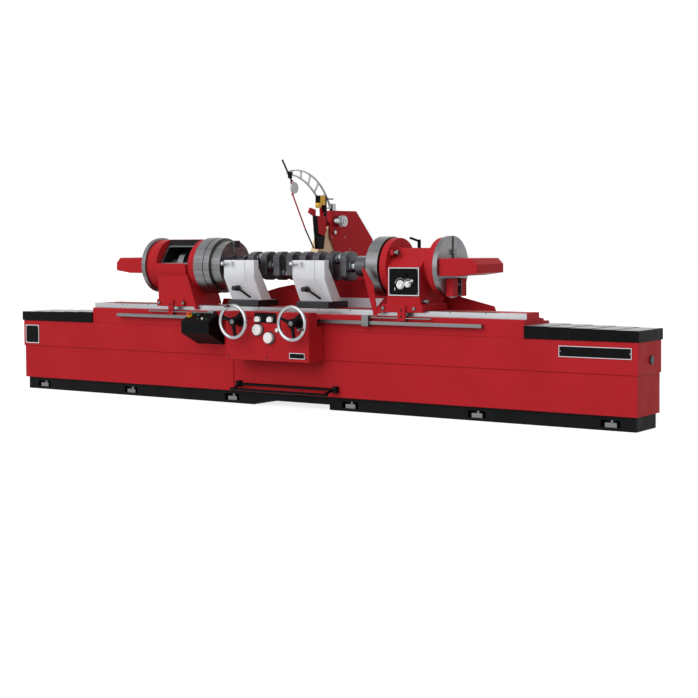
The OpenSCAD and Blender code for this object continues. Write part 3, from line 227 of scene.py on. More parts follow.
def plastic(name, colour, second):
    """A moulding: smooth, slightly uneven in gloss, without wear."""
    return finish_of(name, colour, second, (0.3, 0.4), 20.0, specular=0.4,
                     bump=(500.0, 0.05, 0.0002))


FINISH = {
    "red_paint": finish_of(
        "red_enamel", (176, 36, 42), (168, 33, 39), (0.36, 0.5), 3.0, specular=0.05,
        bump=(260.0, 0.12, 0.0006), worn=(196, 74, 76), edge=0.004, wear_amount=0.35),
    "dark_plinth": finish_of(
        "plinth_paint", (20, 21, 23), (14, 15, 17), (0.45, 0.62), 4.0, specular=0.06,
        bump=(180.0, 0.2, 0.0008), worn=(74, 74, 76), wear_amount=0.5),
    "black_paint": finish_of(
        "black_enamel", (9, 10, 11), (6, 7, 8), (0.4, 0.55), 6.0, specular=0.06,
        bump=(300.0, 0.15, 0.0005), worn=(66, 66, 68), wear_amount=0.4),
    "grey_steady": finish_of(
        "pale_casting_paint", (226, 229, 233), (214, 218, 223), (0.42, 0.56), 8.0, specular=0.3,
        bump=(220.0, 0.22, 0.0009), worn=(150, 152, 156), wear_amount=0.4),
    "steel": finish_of(
        "ground_steel", (128, 129, 130), (104, 105, 107), (0.26, 0.4), 6.0, metal=1.0,
        bump=(120.0, 0.12, 0.0003), stretch=(0.25, 6.0, 6.0), anisotropic=0.4),
    "chrome_wheel": finish_of(
        "polished_steel", (176, 178, 182), (158, 160, 164), (0.1, 0.18), 9.0, metal=1.0,
        bump=(90.0, 0.05, 0.0002)),
    "wheel_grit": finish_of(
        "abrasive", (236, 214, 178), (222, 198, 160), (0.85, 0.95), 40.0, specular=0.1,
        bump=(900.0, 0.6, 0.0008)),
    "white_plastic": plastic("white_moulding", (232, 232, 230), (224, 224, 222)),
    "white_sheet": finish_of(
        "pale_sheet", (220, 216, 222), (208, 204, 212), (0.35, 0.5), 7.0, specular=0.4,
        bump=(200.0, 0.1, 0.0004)),
    "red_plastic": plastic("orange_red_moulding", (214, 66, 34), (204, 58, 30)),
    "green_plastic": plastic("green_moulding", (22, 112, 84), (18, 100, 74)),
    "teal_plastic": plastic("teal_moulding", (24, 116, 122), (20, 104, 110)),
    # Painted shade: a near-black matte finish for the inside of the left head's cavity, where shade
    # falls
    "cavity_painted_shade": finish_of(
        "painted_shade_of_cavity", (30, 27, 29), (22, 20, 22), (0.6, 0.8), 8.0, specular=0.1),
    "disc_steel": finish_of(
        "turned_steel", (140, 141, 143), (124, 126, 129), (0.3, 0.42), 10.0, metal=0.9,
        bump=(150.0, 0.1, 0.0003)),
    "forged_steel": finish_of(
        "forged_steel", (92, 92, 95), (70, 70, 74), (0.28, 0.42), 7.0, metal=0.9,
        bump=(160.0, 0.3, 0.0008), worn=(110, 110, 112), wear_amount=0.5),
    "dark_steel": finish_of(
        "blackened_steel", (52, 53, 56), (40, 41, 44), (0.32, 0.46), 9.0, metal=0.7,
        bump=(200.0, 0.12, 0.0004), worn=(120, 121, 124), wear_amount=0.5),
    "pale_plate": finish_of(
        "pale_plate", (150, 151, 154), (136, 137, 141), (0.3, 0.42), 5.0, metal=0.5,
        bump=(160.0, 0.1, 0.0003)),
    "rail_steel": finish_of(
        "rail_steel", (186, 187, 190), (170, 172, 176), (0.24, 0.36), 6.0, metal=0.85,
        bump=(120.0, 0.1, 0.0003), stretch=(0.25, 6.0, 6.0)),
    "yellow_plastic": plastic("yellow_moulding", (224, 172, 34), (214, 162, 28)),
    "boom_silver": finish_of(
        "silver_paint", (172, 173, 176), (158, 159, 162), (0.3, 0.42), 14.0, metal=0.6,
        bump=(300.0, 0.1, 0.0003), worn=(120, 121, 124)),
}


# Shapes
def spot(x, y, z):
    """Scene point of a place in bed millimetres."""
    return Vector((x, y + BED_FRONT, z)) * MM


def body_of(node):
    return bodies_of(frame["nodes"][node])[0]


def cad_left(node):
    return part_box(node)[0][0] / MM


def cad_right(node):
    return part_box(node)[1][0] / MM


def cad_front(node):
    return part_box(node)[0][1] / MM - BED_FRONT


def apply_modifiers(piece):
    """The piece's mesh becomes what its modifiers make of it."""
    bpy.context.view_layer.update()
    seen = piece.evaluated_get(bpy.context.evaluated_depsgraph_get())
    mesh = bpy.data.meshes.new_from_object(seen)
    piece.modifiers.clear()
    piece.data = mesh


def rounded(piece, width, steps):
    """Rounds the piece's edges by a width in millimetres."""
    bevel = piece.modifiers.new("edges", "BEVEL")
    bevel.width = width * MM
    bevel.segments = steps
    bevel.limit_method = "ANGLE"
    bevel.angle_limit = math.radians(SHARP_ANGLE)
    bevel.use_clamp_overlap = False
    apply_modifiers(piece)


def shaded(piece):
    """Smooth shading between sharp edges, with the normals of flat faces kept flat."""
    piece.data.shade_smooth()
    piece.data.set_sharp_from_angle(angle=math.radians(SHARP_ANGLE))
    facing = piece.modifiers.new("facing", "WEIGHTED_NORMAL")
    facing.keep_sharp = True
    apply_modifiers(piece)


def piece_of(name, shape, finishes, body, width=0, steps=2):
    """A new piece from a bmesh, whose faces take the finishes by material index, on its body."""
    bmesh.ops.recalc_face_normals(shape, faces=shape.faces)
    mesh = bpy.data.meshes.new(name)
    shape.to_mesh(mesh)
    shape.free()
    if mesh.has_custom_normals:
        mesh.attributes.remove(mesh.attributes["custom_normal"])
    piece = bpy.data.objects.new(name, mesh)
    bpy.context.scene.collection.objects.link(piece)
    for finish in finishes:
        mesh.materials.append(FINISH[finish])
    if width:
        rounded(piece, width, steps)
    shaded(piece)
    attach(piece, body)
    return piece


def softened(node, width, steps=2, finishes=None, paint=None):
    """Stands for a CAD node with the same shape and rounded edges.

    Paint names a face's finish, one of the finishes, from its middle in bed millimetres and normal.
    """
    shape = bmesh.new()
    shape.from_mesh(frame["nodes"][node].data)
    bmesh.ops.remove_doubles(shape, verts=shape.verts, dist=0.00002)
    bmesh.ops.dissolve_limit(shape, angle_limit=math.radians(1), verts=shape.verts,
                             edges=shape.edges)
    if paint:
        for face in shape.faces:
            x, y, z = face.calc_center_median() / MM
            face.material_index = finishes.index(paint(x, y - BED_FRONT, z, face.normal))
    piece = piece_of(node + "_round", shape, finishes or [SLOT[node]], body_of(node), width, steps)
    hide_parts(node)


# Colour slot of each CAD node, whose plain look gives way to the finish
SLOT = {}
for node, item in frame["nodes"].items():
    SLOT[node] = item.material_slots[0].material.name.split(".")[0]
    item.material_slots[0].material = FINISH[SLOT[node]]


# Detail helpers, which work in bed millimetres
def painted(faces, material):
    for face in faces:
        face.material_index = material


def faces_at(verts):
    return {face for vert in verts for face in vert.link_faces}


def turned_place(axis, centre, along, radius, angle):
    """Point at a radius and an angle round an axis through the centre."""
    a, b = radius * math.cos(angle), radius * math.sin(angle)
    x, y, z = centre
    if axis == "X":
        return spot(x + along, y + a, z + b)
    if axis == "Y":
        return spot(x + a, y + along, z + b)
    return spot(x + a, y + b, z + along)


def lathe(shape, axis, centre, profile, sides=48, hexed=(), material=0):
    """Turns a profile of (along, radius) round an axis; the rings in hexed become hexagons."""
    rings = []
    for index, (along, radius) in enumerate(profile):
        ring = []
        for side in range(sides):
            angle = 2 * math.pi * side / sides
            size = radius
            if index in hexed:
                size = radius / math.cos((angle + math.pi / 6) % (math.pi / 3) - math.pi / 6)
            ring.append(shape.verts.new(turned_place(axis, centre, along, size, angle)))
        rings.append(ring)
    faces = []
    for low, high in zip(rings, rings[1:]):
        for side in range(sides):
            after = (side + 1) % sides
            faces.append(shape.faces.new((low[side], low[after], high[after], high[side])))
    faces.append(shape.faces.new(rings[0]))
    faces.append(shape.faces.new(rings[-1]))
    painted(faces, material)


def block(shape, low, high, material=0):
    """A box between two corners."""
    made = bmesh.ops.create_cube(shape, size=1)["verts"]
    low, high = spot(*low), spot(*high)
    for vert in made:
        vert.co = Vector(low[k] + (vert.co[k] + 0.5) * (high[k] - low[k]) for k in range(3))
    painted(faces_at(made), material)


def prism(shape, outline, low, high, axis="X", material=0):
    """Extrudes an outline: (Y, Z) along X or (X, Z) along Y."""
    def place(corner, along):
        a, b = corner
        return spot(along, a, b) if axis == "X" else spot(a, along, b)
    near, far = [[shape.verts.new(place(corner, along)) for corner in outline]
                 for along in (low, high)]
    faces = [shape.faces.new(near), shape.faces.new(far)]
    for side in range(len(outline)):
        after = (side + 1) % len(outline)
        faces.append(shape.faces.new((near[side], near[after], far[after], far[side])))
    painted(faces, material)


def tube(shape, start, end, radius, sides=20):
    """A round bar between two places, in the first finish."""
    start, end = spot(*start), spot(*end)
    along = end - start
    made = bmesh.ops.create_cone(shape, cap_ends=True, segments=sides, radius1=radius * MM,
                                 radius2=radius * MM, depth=along.length)["verts"]
    turn = along.to_track_quat("Z", "Y").to_matrix().to_4x4()
    bmesh.ops.transform(shape, matrix=Matrix.Translation((start + end) / 2) @ turn, verts=made)


def ball(shape, centre, radius, material=0, sides=24, rows=16):
    """A sphere round a place, made face by face, so that each run gives the same order."""
    rings = []
    for row in range(1, rows):
        down = math.pi * row / rows
        rings.append([shape.verts.new(turned_place(
            "Z", centre, radius * math.cos(down), radius * math.sin(down),
            2 * math.pi * side / sides)) for side in range(sides)])
    top, bottom = [shape.verts.new(turned_place("Z", centre, along, 0, 0))
                   for along in (radius, -radius)]
    faces = []
    for side in range(sides):
        after = (side + 1) % sides
        faces.append(shape.faces.new((top, rings[0][side], rings[0][after])))
        for high, low in zip(rings, rings[1:]):
            faces.append(shape.faces.new((high[side], low[side], low[after], high[after])))
        faces.append(shape.faces.new((rings[-1][side], bottom, rings[-1][after])))
    painted(faces, material)


def cap_screw(shape, axis, centre, radius, height, sign=-1, material=0):
    """A socket head with its hexagon recess, standing out to one side."""
    edge = radius * 0.12
    profile = [(0, radius), (height - edge, radius), (height, radius - edge),
               (height, radius * 0.58), (height * 0.45, radius * 0.52)]
    lathe(shape, axis, centre, [(sign * a, r) for a, r in profile], 24, (3, 4), material)


def made_piece(name, build, finishes, body, width=0, steps=2):
    """A piece that a function builds."""
    shape = bmesh.new()
    build(shape)
    return piece_of(name, shape, finishes, body, width, steps)


# Edge widths of the nodes that keep one finish
SHARED_BEVELS = {
    "bed_casting": 5, "bed_plinth": 3, "rear_bed": 5, "apron_box": 4, "table_casting": 3,
    "left_trip_dog": 1.5, "right_trip_dog": 1.5, "trip_bar": 1, "left_counterweight_arm": 4,
    "splash_guards": 1, "drip_plate": 1, "chuck_guard": 1.5, "wheelhead_casting": 6,
    "wheel_guard": 4, "right_head_casting": 5, "foot_bar": 1.5, "foot_bar_brackets": 3,
    "table_rail": 1, "index_plunger": 1.5, "head_clamp_lever": 1.5, "gauge_boom": 1.5,
    "blank_plates": 0.8, "control_plate": 0.8, "apron_panel": 0.8, "levelling_feet": 2,
    "guide_ways": 1, "wheel_spindle": 2, "grinding_wheel": 3,
}
for node, width in SHARED_BEVELS.items():
    softened(node, width, finishes=["rail_steel"] if node == "table_rail" else None)


def from_axis(y, z):
    return math.hypot(y - SPINDLE[0], z - SPINDLE[1])


def painted_shade_of_cavity(x, y, z, normal):
    """The cavity behind the left head's window is dark inside: a near-black finish painted on as
    the shade in that recess.
    """
    inside = -1336 < x < -1048 and from_axis(y, z) < 172 and z > 960
    return "cavity_painted_shade" if inside else "red_paint"


def disc_paint(x, y, z, normal):
    """The faces of the discs at the outer ends of the spindles are turned."""
    on_face = abs(normal.x) > 0.9 and not -1400 <= x <= 1300
    return "disc_steel" if on_face else "steel"


def crank_paint(x, y, z, normal):
    """Journals and crank pins are polished, webs are forged."""
    off_pin = min(abs(from_axis(y, z - throw) - CRANK_PIN) for throw in (-CRANK_THROW, CRANK_THROW))
    is_turned = abs(normal.x) < 0.3 and (from_axis(y, z) < CRANK_JOURNAL or off_pin < 3)
    return "chrome_wheel" if is_turned else "forged_steel"


# The faces inside the left head's cavity take the painted shade finish
softened("left_head_casting", 4, finishes=["red_paint", "cavity_painted_shade"], paint=painted_shade_of_cavity)
softened("left_spindle", 2, finishes=["steel", "disc_steel"], paint=disc_paint)
softened("right_spindle", 2, finishes=["steel", "disc_steel"], paint=disc_paint)
softened("left_chuck", 3)
softened("right_chuck", 2.5)
softened("crankshaft", 4, 3, finishes=["forged_steel", "chrome_wheel"], paint=crank_paint)


def clamp_paint(x, y, z, normal):
    """The clamp bracket is red, its guide rod and bolts are steel."""
    at_bracket = -1214 < x < -1156 or 1076 < x < 1149
    in_bracket = at_bracket and BRACKET_Y < y < -18 and 716 < z < 837
    off_rod = math.hypot(y + 30, z - 738) > 6.5
    return "red_paint" if in_bracket and off_rod else "steel"


def steady_paint_and_base_shade(x, y, z, normal):
    """The base under a steady rest is dark: dark steel, and partly painted shade under the casting.
    """
    return "dark_steel" if z < 846 else "grey_steady"


def steady_knob_paint(x, y, z, normal):
    """The lower part of a steady rest's clamp knob, with its lever, is black."""
    return "black_paint" if z < 918 else "dark_steel"


def arm_paint(x, y, z, normal):
    """The nut on top of the right arm and the rod between its weights are bare steel."""
    on_rod = 976 < z < 1006 and abs(y - SPINDLE[0]) < 27
    return "steel" if z > 1205 or on_rod else "red_paint"


for side in ("left", "right"):
    softened(side + "_head_fittings", 1.5, finishes=["steel", "red_paint"], paint=clamp_paint)
    # The dark base of each steady rest is partly painted shade under its casting
    softened(side + "_steady", 4, 3, finishes=["grey_steady", "dark_steel"], paint=steady_paint_and_base_shade)
    softened(side + "_steady_knob", 1.5, finishes=["dark_steel", "black_paint"],
             paint=steady_knob_paint)
    softened(side + "_steady_lever", 1, finishes=["chrome_wheel"])
softened("right_counterweight_arm", 4, finishes=["red_paint", "steel"], paint=arm_paint)


def gauge_paint(x, y, z, normal):
    """Grip and arm dark, dial ring silver, knob yellow and the gauge body red."""
    if y < 100 and z > 1790:
        return "black_paint"
    if math.hypot(y - 134, z - 1745) < 48:
        return "boom_silver"
    if math.hypot(y - 422, z - 1609) < 22 and x > -2:
        return "yellow_plastic"
    on_block = 1612 <= z < 1700 and y > 420
    on_arm = z < 1360 or (z < 1500 and -16.5 < x < 14)
    return "black_paint" if on_block or on_arm else "red_paint"


def cylinder_paint(x, y, z, normal):
    """The feed cylinder outside the wheel guard is bright."""
    return "chrome_wheel" if x > -9 else "dark_steel"


softened("gauge_fittings", 1.5, paint=gauge_paint,
         finishes=["red_paint", "black_paint", "boom_silver", "yellow_plastic"])
softened("guard_fittings", 1.5, finishes=["dark_steel", "chrome_wheel"], paint=cylinder_paint)

# Way covers: the X of their ends, the Z of their lower edge and highest top, and their parts
COVER_INNER, COVER_OUTER = 2128, 3008
COVER_LOW, COVER_TOP = 619.3, 711
COVER_PARTS, COVER_STEP_DOWN = 5, 3


def way_cover(side):
    """A black skirt and light plates that overlap like roof tiles, lower towards the bed's end."""
    sign = -1 if side == "left" else 1
    start = min(sign * COVER_INNER, sign * COVER_OUTER)
    step = (COVER_OUTER - COVER_INNER) / COVER_PARTS

    def build(shape):
        for i in range(COVER_PARTS):
            x = start + i * step
            top = COVER_TOP - (COVER_PARTS - 1 - i if sign < 0 else i) * COVER_STEP_DOWN
            skirt = [(-8, COVER_LOW), (-8, top - 4), (-3, top - 1),
                     (397, top - 1), (402, top - 4), (402, COVER_LOW)]
            prism(shape, skirt, x + 0.6, x + step - 0.6)
            block(shape, (x + 2, -2, top - 1.2), (x + step - 2, 396, top), 1)
        for front, rear in ((-8.4, -2), (396, 402.4)):
            for i in range(1, COVER_PARTS):
                x = start + i * step
                block(shape, (x - 7, front, 622), (x + 7, rear, 690))
    piece = made_piece(side + "_cover_plates", build, ["black_paint", "pale_plate"], "table",
                       0.8, 1)
    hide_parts(side + "_way_cover")


way_cover("left")
way_cover("right")


def ring_place(centre, along, radius, angle):
    """Place in bed millimetres at a radius and an angle round an axis along Y."""
    x, y, z = centre
    return (x + radius * math.cos(angle), y + along, z + radius * math.sin(angle))


# Handwheels: radius of the rim's middle and of its section, and Y and Z of their centres
RIM_RADIUS, RIM_SECTION = 126, 14
RIM_SIDES, SECTION_SIDES = 72, 20
WHEEL_Y, WHEEL_Z = -300, 690


def wheel_rim(shape, centre):
    """A closed ring with a round section."""
    rim = []
    for side in range(RIM_SIDES):
        around = 2 * math.pi * side / RIM_SIDES
        ring = []
        for part in range(SECTION_SIDES):
            angle = 2 * math.pi * part / SECTION_SIDES
            ring.append(shape.verts.new(turned_place(
                "Y", centre, RIM_SECTION * math.sin(angle),
                RIM_RADIUS + RIM_SECTION * math.cos(angle), around)))
        rim.append(ring)
    for low, high in zip(rim, rim[1:] + rim[:1]):
        for part in range(SECTION_SIDES):
            after = (part + 1) % SECTION_SIDES
            shape.faces.new((low[part], low[after], high[after], high[part]))


def handwheel(node, x, turn):
    """A wheel with a thick polished rim, three dark spokes, a hub and a tapered handle."""
    def build(shape):
        centre = (x, WHEEL_Y, WHEEL_Z)
        wheel_rim(shape, centre)
        hub = [(86, 44), (86, 40), (60, 30), (20, 30), (8, 36), (-10, 36), (-13, 33)]
        lathe(shape, "Y", centre, hub, 48, material=1)
        collar = [(99.7, 40), (99.7, 44), (88, 44), (86, 42)]
        lathe(shape, "Y", centre, collar, 48, material=2)
        hub_nut = [(-10, 19), (-17, 19), (-20, 16), (-20, 8), (-16, 7)]
        lathe(shape, "Y", centre, hub_nut, 36, (3, 4), 2)
        shaft = [(99.7, 16), (140, 16), (190, 16)]
        lathe(shape, "Y", centre, shaft, 32, material=2)
        spoke = [(28, -17), (60, -12), (118, -10), (118, 10), (60, 12), (28, 17)]
        for degrees in (turn, turn + 120, turn + 240):
            angle = math.radians(degrees)
            outline = [(x + a * math.cos(angle) + b * math.sin(angle),
                        WHEEL_Z - a * math.sin(angle) + b * math.cos(angle)) for a, b in spoke]
            prism(shape, outline, WHEEL_Y - 7, WHEEL_Y + 7, "Y", 1)
        angle = math.radians(turn + 60)
        place = (x + RIM_RADIUS * math.cos(angle), WHEEL_Y, WHEEL_Z - RIM_RADIUS * math.sin(angle))
        grip = [(-10, 8), (-18, 8), (-20, 9), (-40, 11), (-62, 11.5), (-78, 9), (-84.5, 4)]
        lathe(shape, "Y", place, grip, 28, material=2)
    piece = made_piece(node + "_wheel", build, ["chrome_wheel", "black_paint", "steel"],
                       body_of(node))
    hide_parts(node)


handwheel("traverse_handwheel", -297, 200)
handwheel("infeed_handwheel", 284, -40)


def round_knob(node, x, z):
    """A white disc with a groove round its face, and its grey collar with small balls."""
    def build(shape):
        centre = (x, APRON_Y, z)
        disc = [(-8, 41), (-34, 43), (-37, 41), (-38, 37), (-36.6, 35), (-36.6, 33),
                (-38, 31), (-38, 5), (-36, 3)]
        lathe(shape, "Y", centre, disc, 56)
        collar = [(-0.3, 50), (-6.5, 50), (-8, 48), (-8, 40)]
        lathe(shape, "Y", centre, collar, 56, material=1)
        lathe(shape, "Y", centre, [(-1, 10), (35, 10)], 24, material=1)
        for tick in range(24):
            angle = 2 * math.pi * tick / 24
            ball(shape, ring_place(centre, -5, 50, angle), 1.6, 1)
    piece = made_piece(node + "_disc", build, ["white_plastic", "dark_steel"], body_of(node))
    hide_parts(node)


round_knob("upper_round_knob", -116, 626)
round_knob("lower_round_knob", -5, 566)
for node in ("left_panel_knob", "right_panel_knob"):
    softened(node, 1.5, finishes=["white_plastic"])


# Middles of the dial and the selector on the control plate, X and Z
DIAL, SELECTOR = (1088, 988), (1156, 993)


def speed_dial(shape):
    """A fluted knob on a flange, with a dark pointer line."""
    x, z = DIAL
    centre = (x, CONTROL_Y - 0.3, z)
    knob = [(0, 33), (-4, 34), (-5, 32), (-6, 27), (-19, 25), (-20, 23), (-20, 3)]
    lathe(shape, "Y", centre, knob, 48)
    lathe(shape, "Y", centre, [(1, 10), (40, 10)], 24)
    for i in range(20):
        angle = math.pi * i / 10
        tube(shape, ring_place(centre, -6, 27, angle), ring_place(centre, -18, 25.4, angle), 1.6,
             sides=8)
    block(shape, (x - 1, -29, z + 2), (x + 1, -28, z + 22), 1)


def selector(shape):
    """A round cap with a bent lever that ends in a ball."""
    x, z = SELECTOR
    centre = (x, CONTROL_Y - 0.3, z)
    lathe(shape, "Y", centre, [(0, 26), (-12, 25), (-18, 22), (-20, 18), (-20, 3)], 40)
    lathe(shape, "Y", centre, [(1, 10), (40, 10)], 24)
    path = [(x, -26, z), (x + 24, -31, z + 19), (x + 44, -34, z + 26), (x + 55, -36, z + 27)]
    for start, end in zip(path, path[1:]):
        tube(shape, start, end, 5)
        ball(shape, end, 5.2)
    ball(shape, (x + 55, -38, z + 28), 9)


dial_cap = made_piece("speed_dial_cap", speed_dial, ["white_plastic", "black_paint"], "speed_dial")
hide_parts("speed_dial")
selector_cap = made_piece("selector_cap", selector, ["white_plastic"], "selector_lever")
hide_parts("selector_lever")


# Trim on the fixed parts
def plate_rim(shape, x0, x1, z0, z1, y, wide, thick):
    """Four strips round the edge of a plate on a front face at Y."""
    strips = (((x0, z0), (x1, z0 + wide)), ((x0, z1 - wide), (x1, z1)),
              ((x0, z0 + wide), (x0 + wide, z1 - wide)),
              ((x1 - wide, z0 + wide), (x1, z1 - wide)))
    for low, high in strips:
        block(shape, (low[0], y - thick, low[1]), (high[0], y, high[1]))


def plate_trim(shape):
    """Rims of the left, right and apron plates, and the screws of the first two."""
    plate_rim(shape, -2971, -2801, 414, 579, -4, 7, 1.2)
    plate_rim(shape, 2402, 2953, 500, 579, -4, 5, 1.2)
    plate_rim(shape, 184, 333, 409, 455, -204, 5, 1)
    for x, z in ((-2958, 427), (-2814, 427), (-2958, 566), (-2814, 566)):
        cap_screw(shape, "Y", (x, -4, z), 3.5, 2)
    for x in (2414, 2941):
        cap_screw(shape, "Y", (x, -4, 539.5), 3.5, 2)


made_piece("plate_frames", plate_trim, ["white_sheet"], "bed", 0.3, 1)


def apron_trim(shape):
    """Screws of the apron and its black panel, the oil sight, and marks round the panel's knobs."""
    for x, z in ((-425, 410), (-40, 410), (345, 410), (-425, 740), (345, 740)):
        cap_screw(shape, "Y", (x, APRON_Y, z), 7, 5)
    for x in (-150, 51):
        for z in (677, 753):
            cap_screw(shape, "Y", (x, PANEL_Y, z), 3.5, 2)
    sight_ring = [(0, 17), (-2, 17), (-3, 15), (-3, 13), (-1.5, 12)]
    lathe(shape, "Y", (66, -210, 626), sight_ring, 36, material=1)
    sight_glass = [(0, 12), (-3, 12), (-4.5, 9), (-5, 4)]
    lathe(shape, "Y", (66, -209, 626), sight_glass, 36, material=2)
    for x in (-120, 3):
        for turn in (35, 65, 115, 145):
            place = ring_place((x, PANEL_Y, 705), 0, 37, math.radians(turn))
            cap_screw(shape, "Y", place, 1.6, 0.8, material=2)


made_piece("apron_trim", apron_trim, ["dark_steel", "chrome_wheel", "white_plastic"], "bed")


def control_trim(shape):
    """The control plate's frame, scale marks, screws, lamp and slit."""
    plate_rim(shape, 980, 1252, 906, 1118, CONTROL_Y, 7, 1.5)
    for step in range(25):
        angle = math.pi * (0.08 + 0.84 * step / 24)
        mark = 12 if step % 4 == 0 else 7
        for (x, z), radius in ((DIAL, 44), (SELECTOR, 34)):
            centre = (x, CONTROL_Y - 0.4, z)
            tube(shape, ring_place(centre, 0, radius, angle),
                 ring_place(centre, 0, radius + mark, angle), 0.9, sides=6)
    for x, z in ((996, 922), (1236, 922), (996, 1102), (1236, 1102)):
        cap_screw(shape, "Y", (x, CONTROL_Y, z), 4.5, 3, material=1)
    lamp_ring = [(0, 11), (-3, 11), (-4, 9), (-4, 7), (-2, 6)]
    lathe(shape, "Y", (1131, CONTROL_Y, 1064), lamp_ring, 32, material=1)
    lamp_cap = [(0, 6), (-4, 6), (-5, 4), (-5.4, 1)]
    lathe(shape, "Y", (1131, CONTROL_Y - 1, 1064), lamp_cap, 24, material=2)
    block(shape, (1034, CONTROL_Y - 1, 945), (1040, CONTROL_Y, 967))


made_piece("control_trim", control_trim, ["white_sheet", "steel", "red_plastic"],
           body_of("control_plate"))


# Screws and slots on the discs and chucks; the sign is the side of X that a face looks to
def ring_of_screws(shape, x, sign, radius, count, size, start):
    """Screws round the spindle axis, from a start angle in degrees."""
    for i in range(count):
        angle = math.radians(start) + 2 * math.pi * i / count
        place = (x, SPINDLE[0] + radius * math.cos(angle), SPINDLE[1] + radius * math.sin(angle))
        cap_screw(shape, "X", place, size, 5, sign)


def slot_lines(shape, x, inner, outer, turns):
    """The two edges of each slot that runs out from the axis."""
    for turn in turns:
        angle = math.radians(turn)
        for shift in (-15, 15):
            start, end = [(x, SPINDLE[0] + r * math.cos(angle) - shift * math.sin(angle),
                           SPINDLE[1] + r * math.sin(angle) + shift * math.cos(angle))
                          for r in (inner, outer)]
            tube(shape, start, end, 1.2, sides=6)


def disc_trim(shape, x, sign):
    ring_of_screws(shape, x, sign, 120, 6, 9, 30)
    slot_lines(shape, x, 70, 226, (90,))


def right_chuck_trim(shape):
    """Screws and four slots on the chuck's face."""
    x = 782
    ring_of_screws(shape, x, -1, 211, 8, 7, 22.5)
    slot_lines(shape, x, 195, 228, (0, 90, 180, 270))


def left_chuck_trim(shape):
    """Screws on the chuck's face and a clamp block with two screws on its jaw."""
    x = cad_right("left_chuck")
    y, z = SPINDLE
    ring_of_screws(shape, x, 1, 165, 4, 8, 45)
    block(shape, (x - 70, y - 32, z + 150), (x + 12, y + 32, z + 206))
    for dx in (-50, -12):
        cap_screw(shape, "Z", (x + dx, y, z + 206), 11, 9)


made_piece("right_disc_trim", lambda shape: disc_trim(shape, cad_right("right_spindle"), 1),
           ["steel"], body_of("right_spindle"))
made_piece("left_disc_trim", lambda shape: disc_trim(shape, cad_left("left_spindle"), -1),
           ["steel"], body_of("left_spindle"))
made_piece("right_chuck_trim", right_chuck_trim, ["dark_steel"], body_of("right_chuck"))
made_piece("left_chuck_trim", left_chuck_trim, ["dark_steel"], body_of("left_chuck"), 2, 2)


def clamp_screws(shape, x):
    for z in (752, 800):
        cap_screw(shape, "Y", (x, BRACKET_Y, z), 8, 6)


made_piece("left_clamp_screws", lambda shape: clamp_screws(shape, -1185), ["dark_steel"],
           body_of("left_head_casting"))
made_piece("right_clamp_screws", lambda shape: clamp_screws(shape, 1112), ["dark_steel"],
           body_of("right_head_casting"))


def rail_trim(shape):
    """Small screws along the table rail and a dark line along its top edge."""
    front = cad_front("table_rail")
    for x in range(-1800, 1801, 300):
        cap_screw(shape, "Y", (x, front, 785), 5, 1.5)
    block(shape, (-1900, front - 0.8, 792), (1900, front, 797))


made_piece("rail_trim", rail_trim, ["dark_steel"], body_of("table_rail"))


def desk_paint(x, y, z, normal):
    """What stands up from the desk's sloping top: the yellow ring at its left, and the lamps."""
    above_top = (z - 673) - (y + 200) * 0.5167
    if above_top < 3.5 or y < -199:
        return "black_paint"
    if x < -870:
        return "yellow_plastic"
    return "white_plastic" if x < -760 and y > -130 else "green_plastic"


softened("control_desk", 1.2, paint=desk_paint,
         finishes=["black_paint", "yellow_plastic", "white_plastic", "green_plastic"])


def bed_trim(shape):
    """The rim of the round plug in the bed's right end."""
    lathe(shape, "X", (3008, 211, 487), [(0, 31), (3, 31), (4, 29), (4, 26)], 40)


made_piece("bed_trim", bed_trim, ["dark_steel"], body_of("bed_casting"))

# Y and Z of the feed cylinder's axis
CYLINDER = (704, 1482)


def guard_trim(shape):
    """Flutes and an end nut on the feed cylinder, and screws on the wheel guard."""
    x = cad_right("guard_fittings")
    for i in range(24):
        angle = 2 * math.pi * i / 24
        y, z = CYLINDER[0] + 44.3 * math.cos(angle), CYLINDER[1] + 44.3 * math.sin(angle)
        tube(shape, (x - 34, y, z), (x - 4, y, z), 2.2, sides=6)
    end_nut = [(0, 24), (4, 24), (6, 20), (6, 8), (2, 7)]
    lathe(shape, "X", (x, *CYLINDER), end_nut, 40, (3, 4))
    for y, z in ((640, 1350), (830, 1350), (620, 1250), (900, 1250)):
        cap_screw(shape, "X", (cad_right("wheel_guard"), y, z), 6, 4, sign=1)


made_piece("guard_trim", guard_trim, ["chrome_wheel"], body_of("guard_fittings"))

# Y of the rear faces of the wheelhead, the rear bed and the bed
WHEELHEAD_BACK_Y, REAR_BED_BACK_Y, BED_BACK_Y = 1380, 1655, 394


def louvres(shape, x0, x1, y, z0, z1, count):
    """A vent plate on a rear face with slanting slats and four screws."""
    block(shape, (x0, y, z0), (x1, y + 3, z1))
    step = (z1 - z0 - 24) / count
    for i in range(count):
        z = z0 + 12 + i * step
        slat = [(y + 3, z), (y + 10, z + 3), (y + 10, z + 6), (y + 3, z + step * 0.7)]
        prism(shape, slat, x0 + 18, x1 - 18)
    for x in (x0 + 9, x1 - 9):
        for z in (z0 + 9, z1 - 9):
            cap_screw(shape, "Y", (x, y + 3, z), 4, 3, sign=1, material=1)


def wheelhead_back(shape):
    """Two vent plates and six screws."""
    for x in (60, 400):
        louvres(shape, x, x + 280, WHEELHEAD_BACK_Y, 860, 1040, 9)
    for x in (-90, 310, 710):
        cap_screw(shape, "Y", (x, WHEELHEAD_BACK_Y, 700), 9, 7, sign=1, material=1)
        cap_screw(shape, "Y", (x, WHEELHEAD_BACK_Y, 1090), 7, 5, sign=1, material=1)


def door(shape, x, width, y, z0, z1):
    """A plate on a rear face with screws along its lower and upper edges."""
    block(shape, (x, y, z0), (x + width, y + 4, z1))
    for screw_x in (x + 14, x + width / 2, x + width - 14):
        for screw_z in (z0 + 14, z1 - 14):
            cap_screw(shape, "Y", (screw_x, y + 4, screw_z), 5, 3.5, sign=1, material=1)


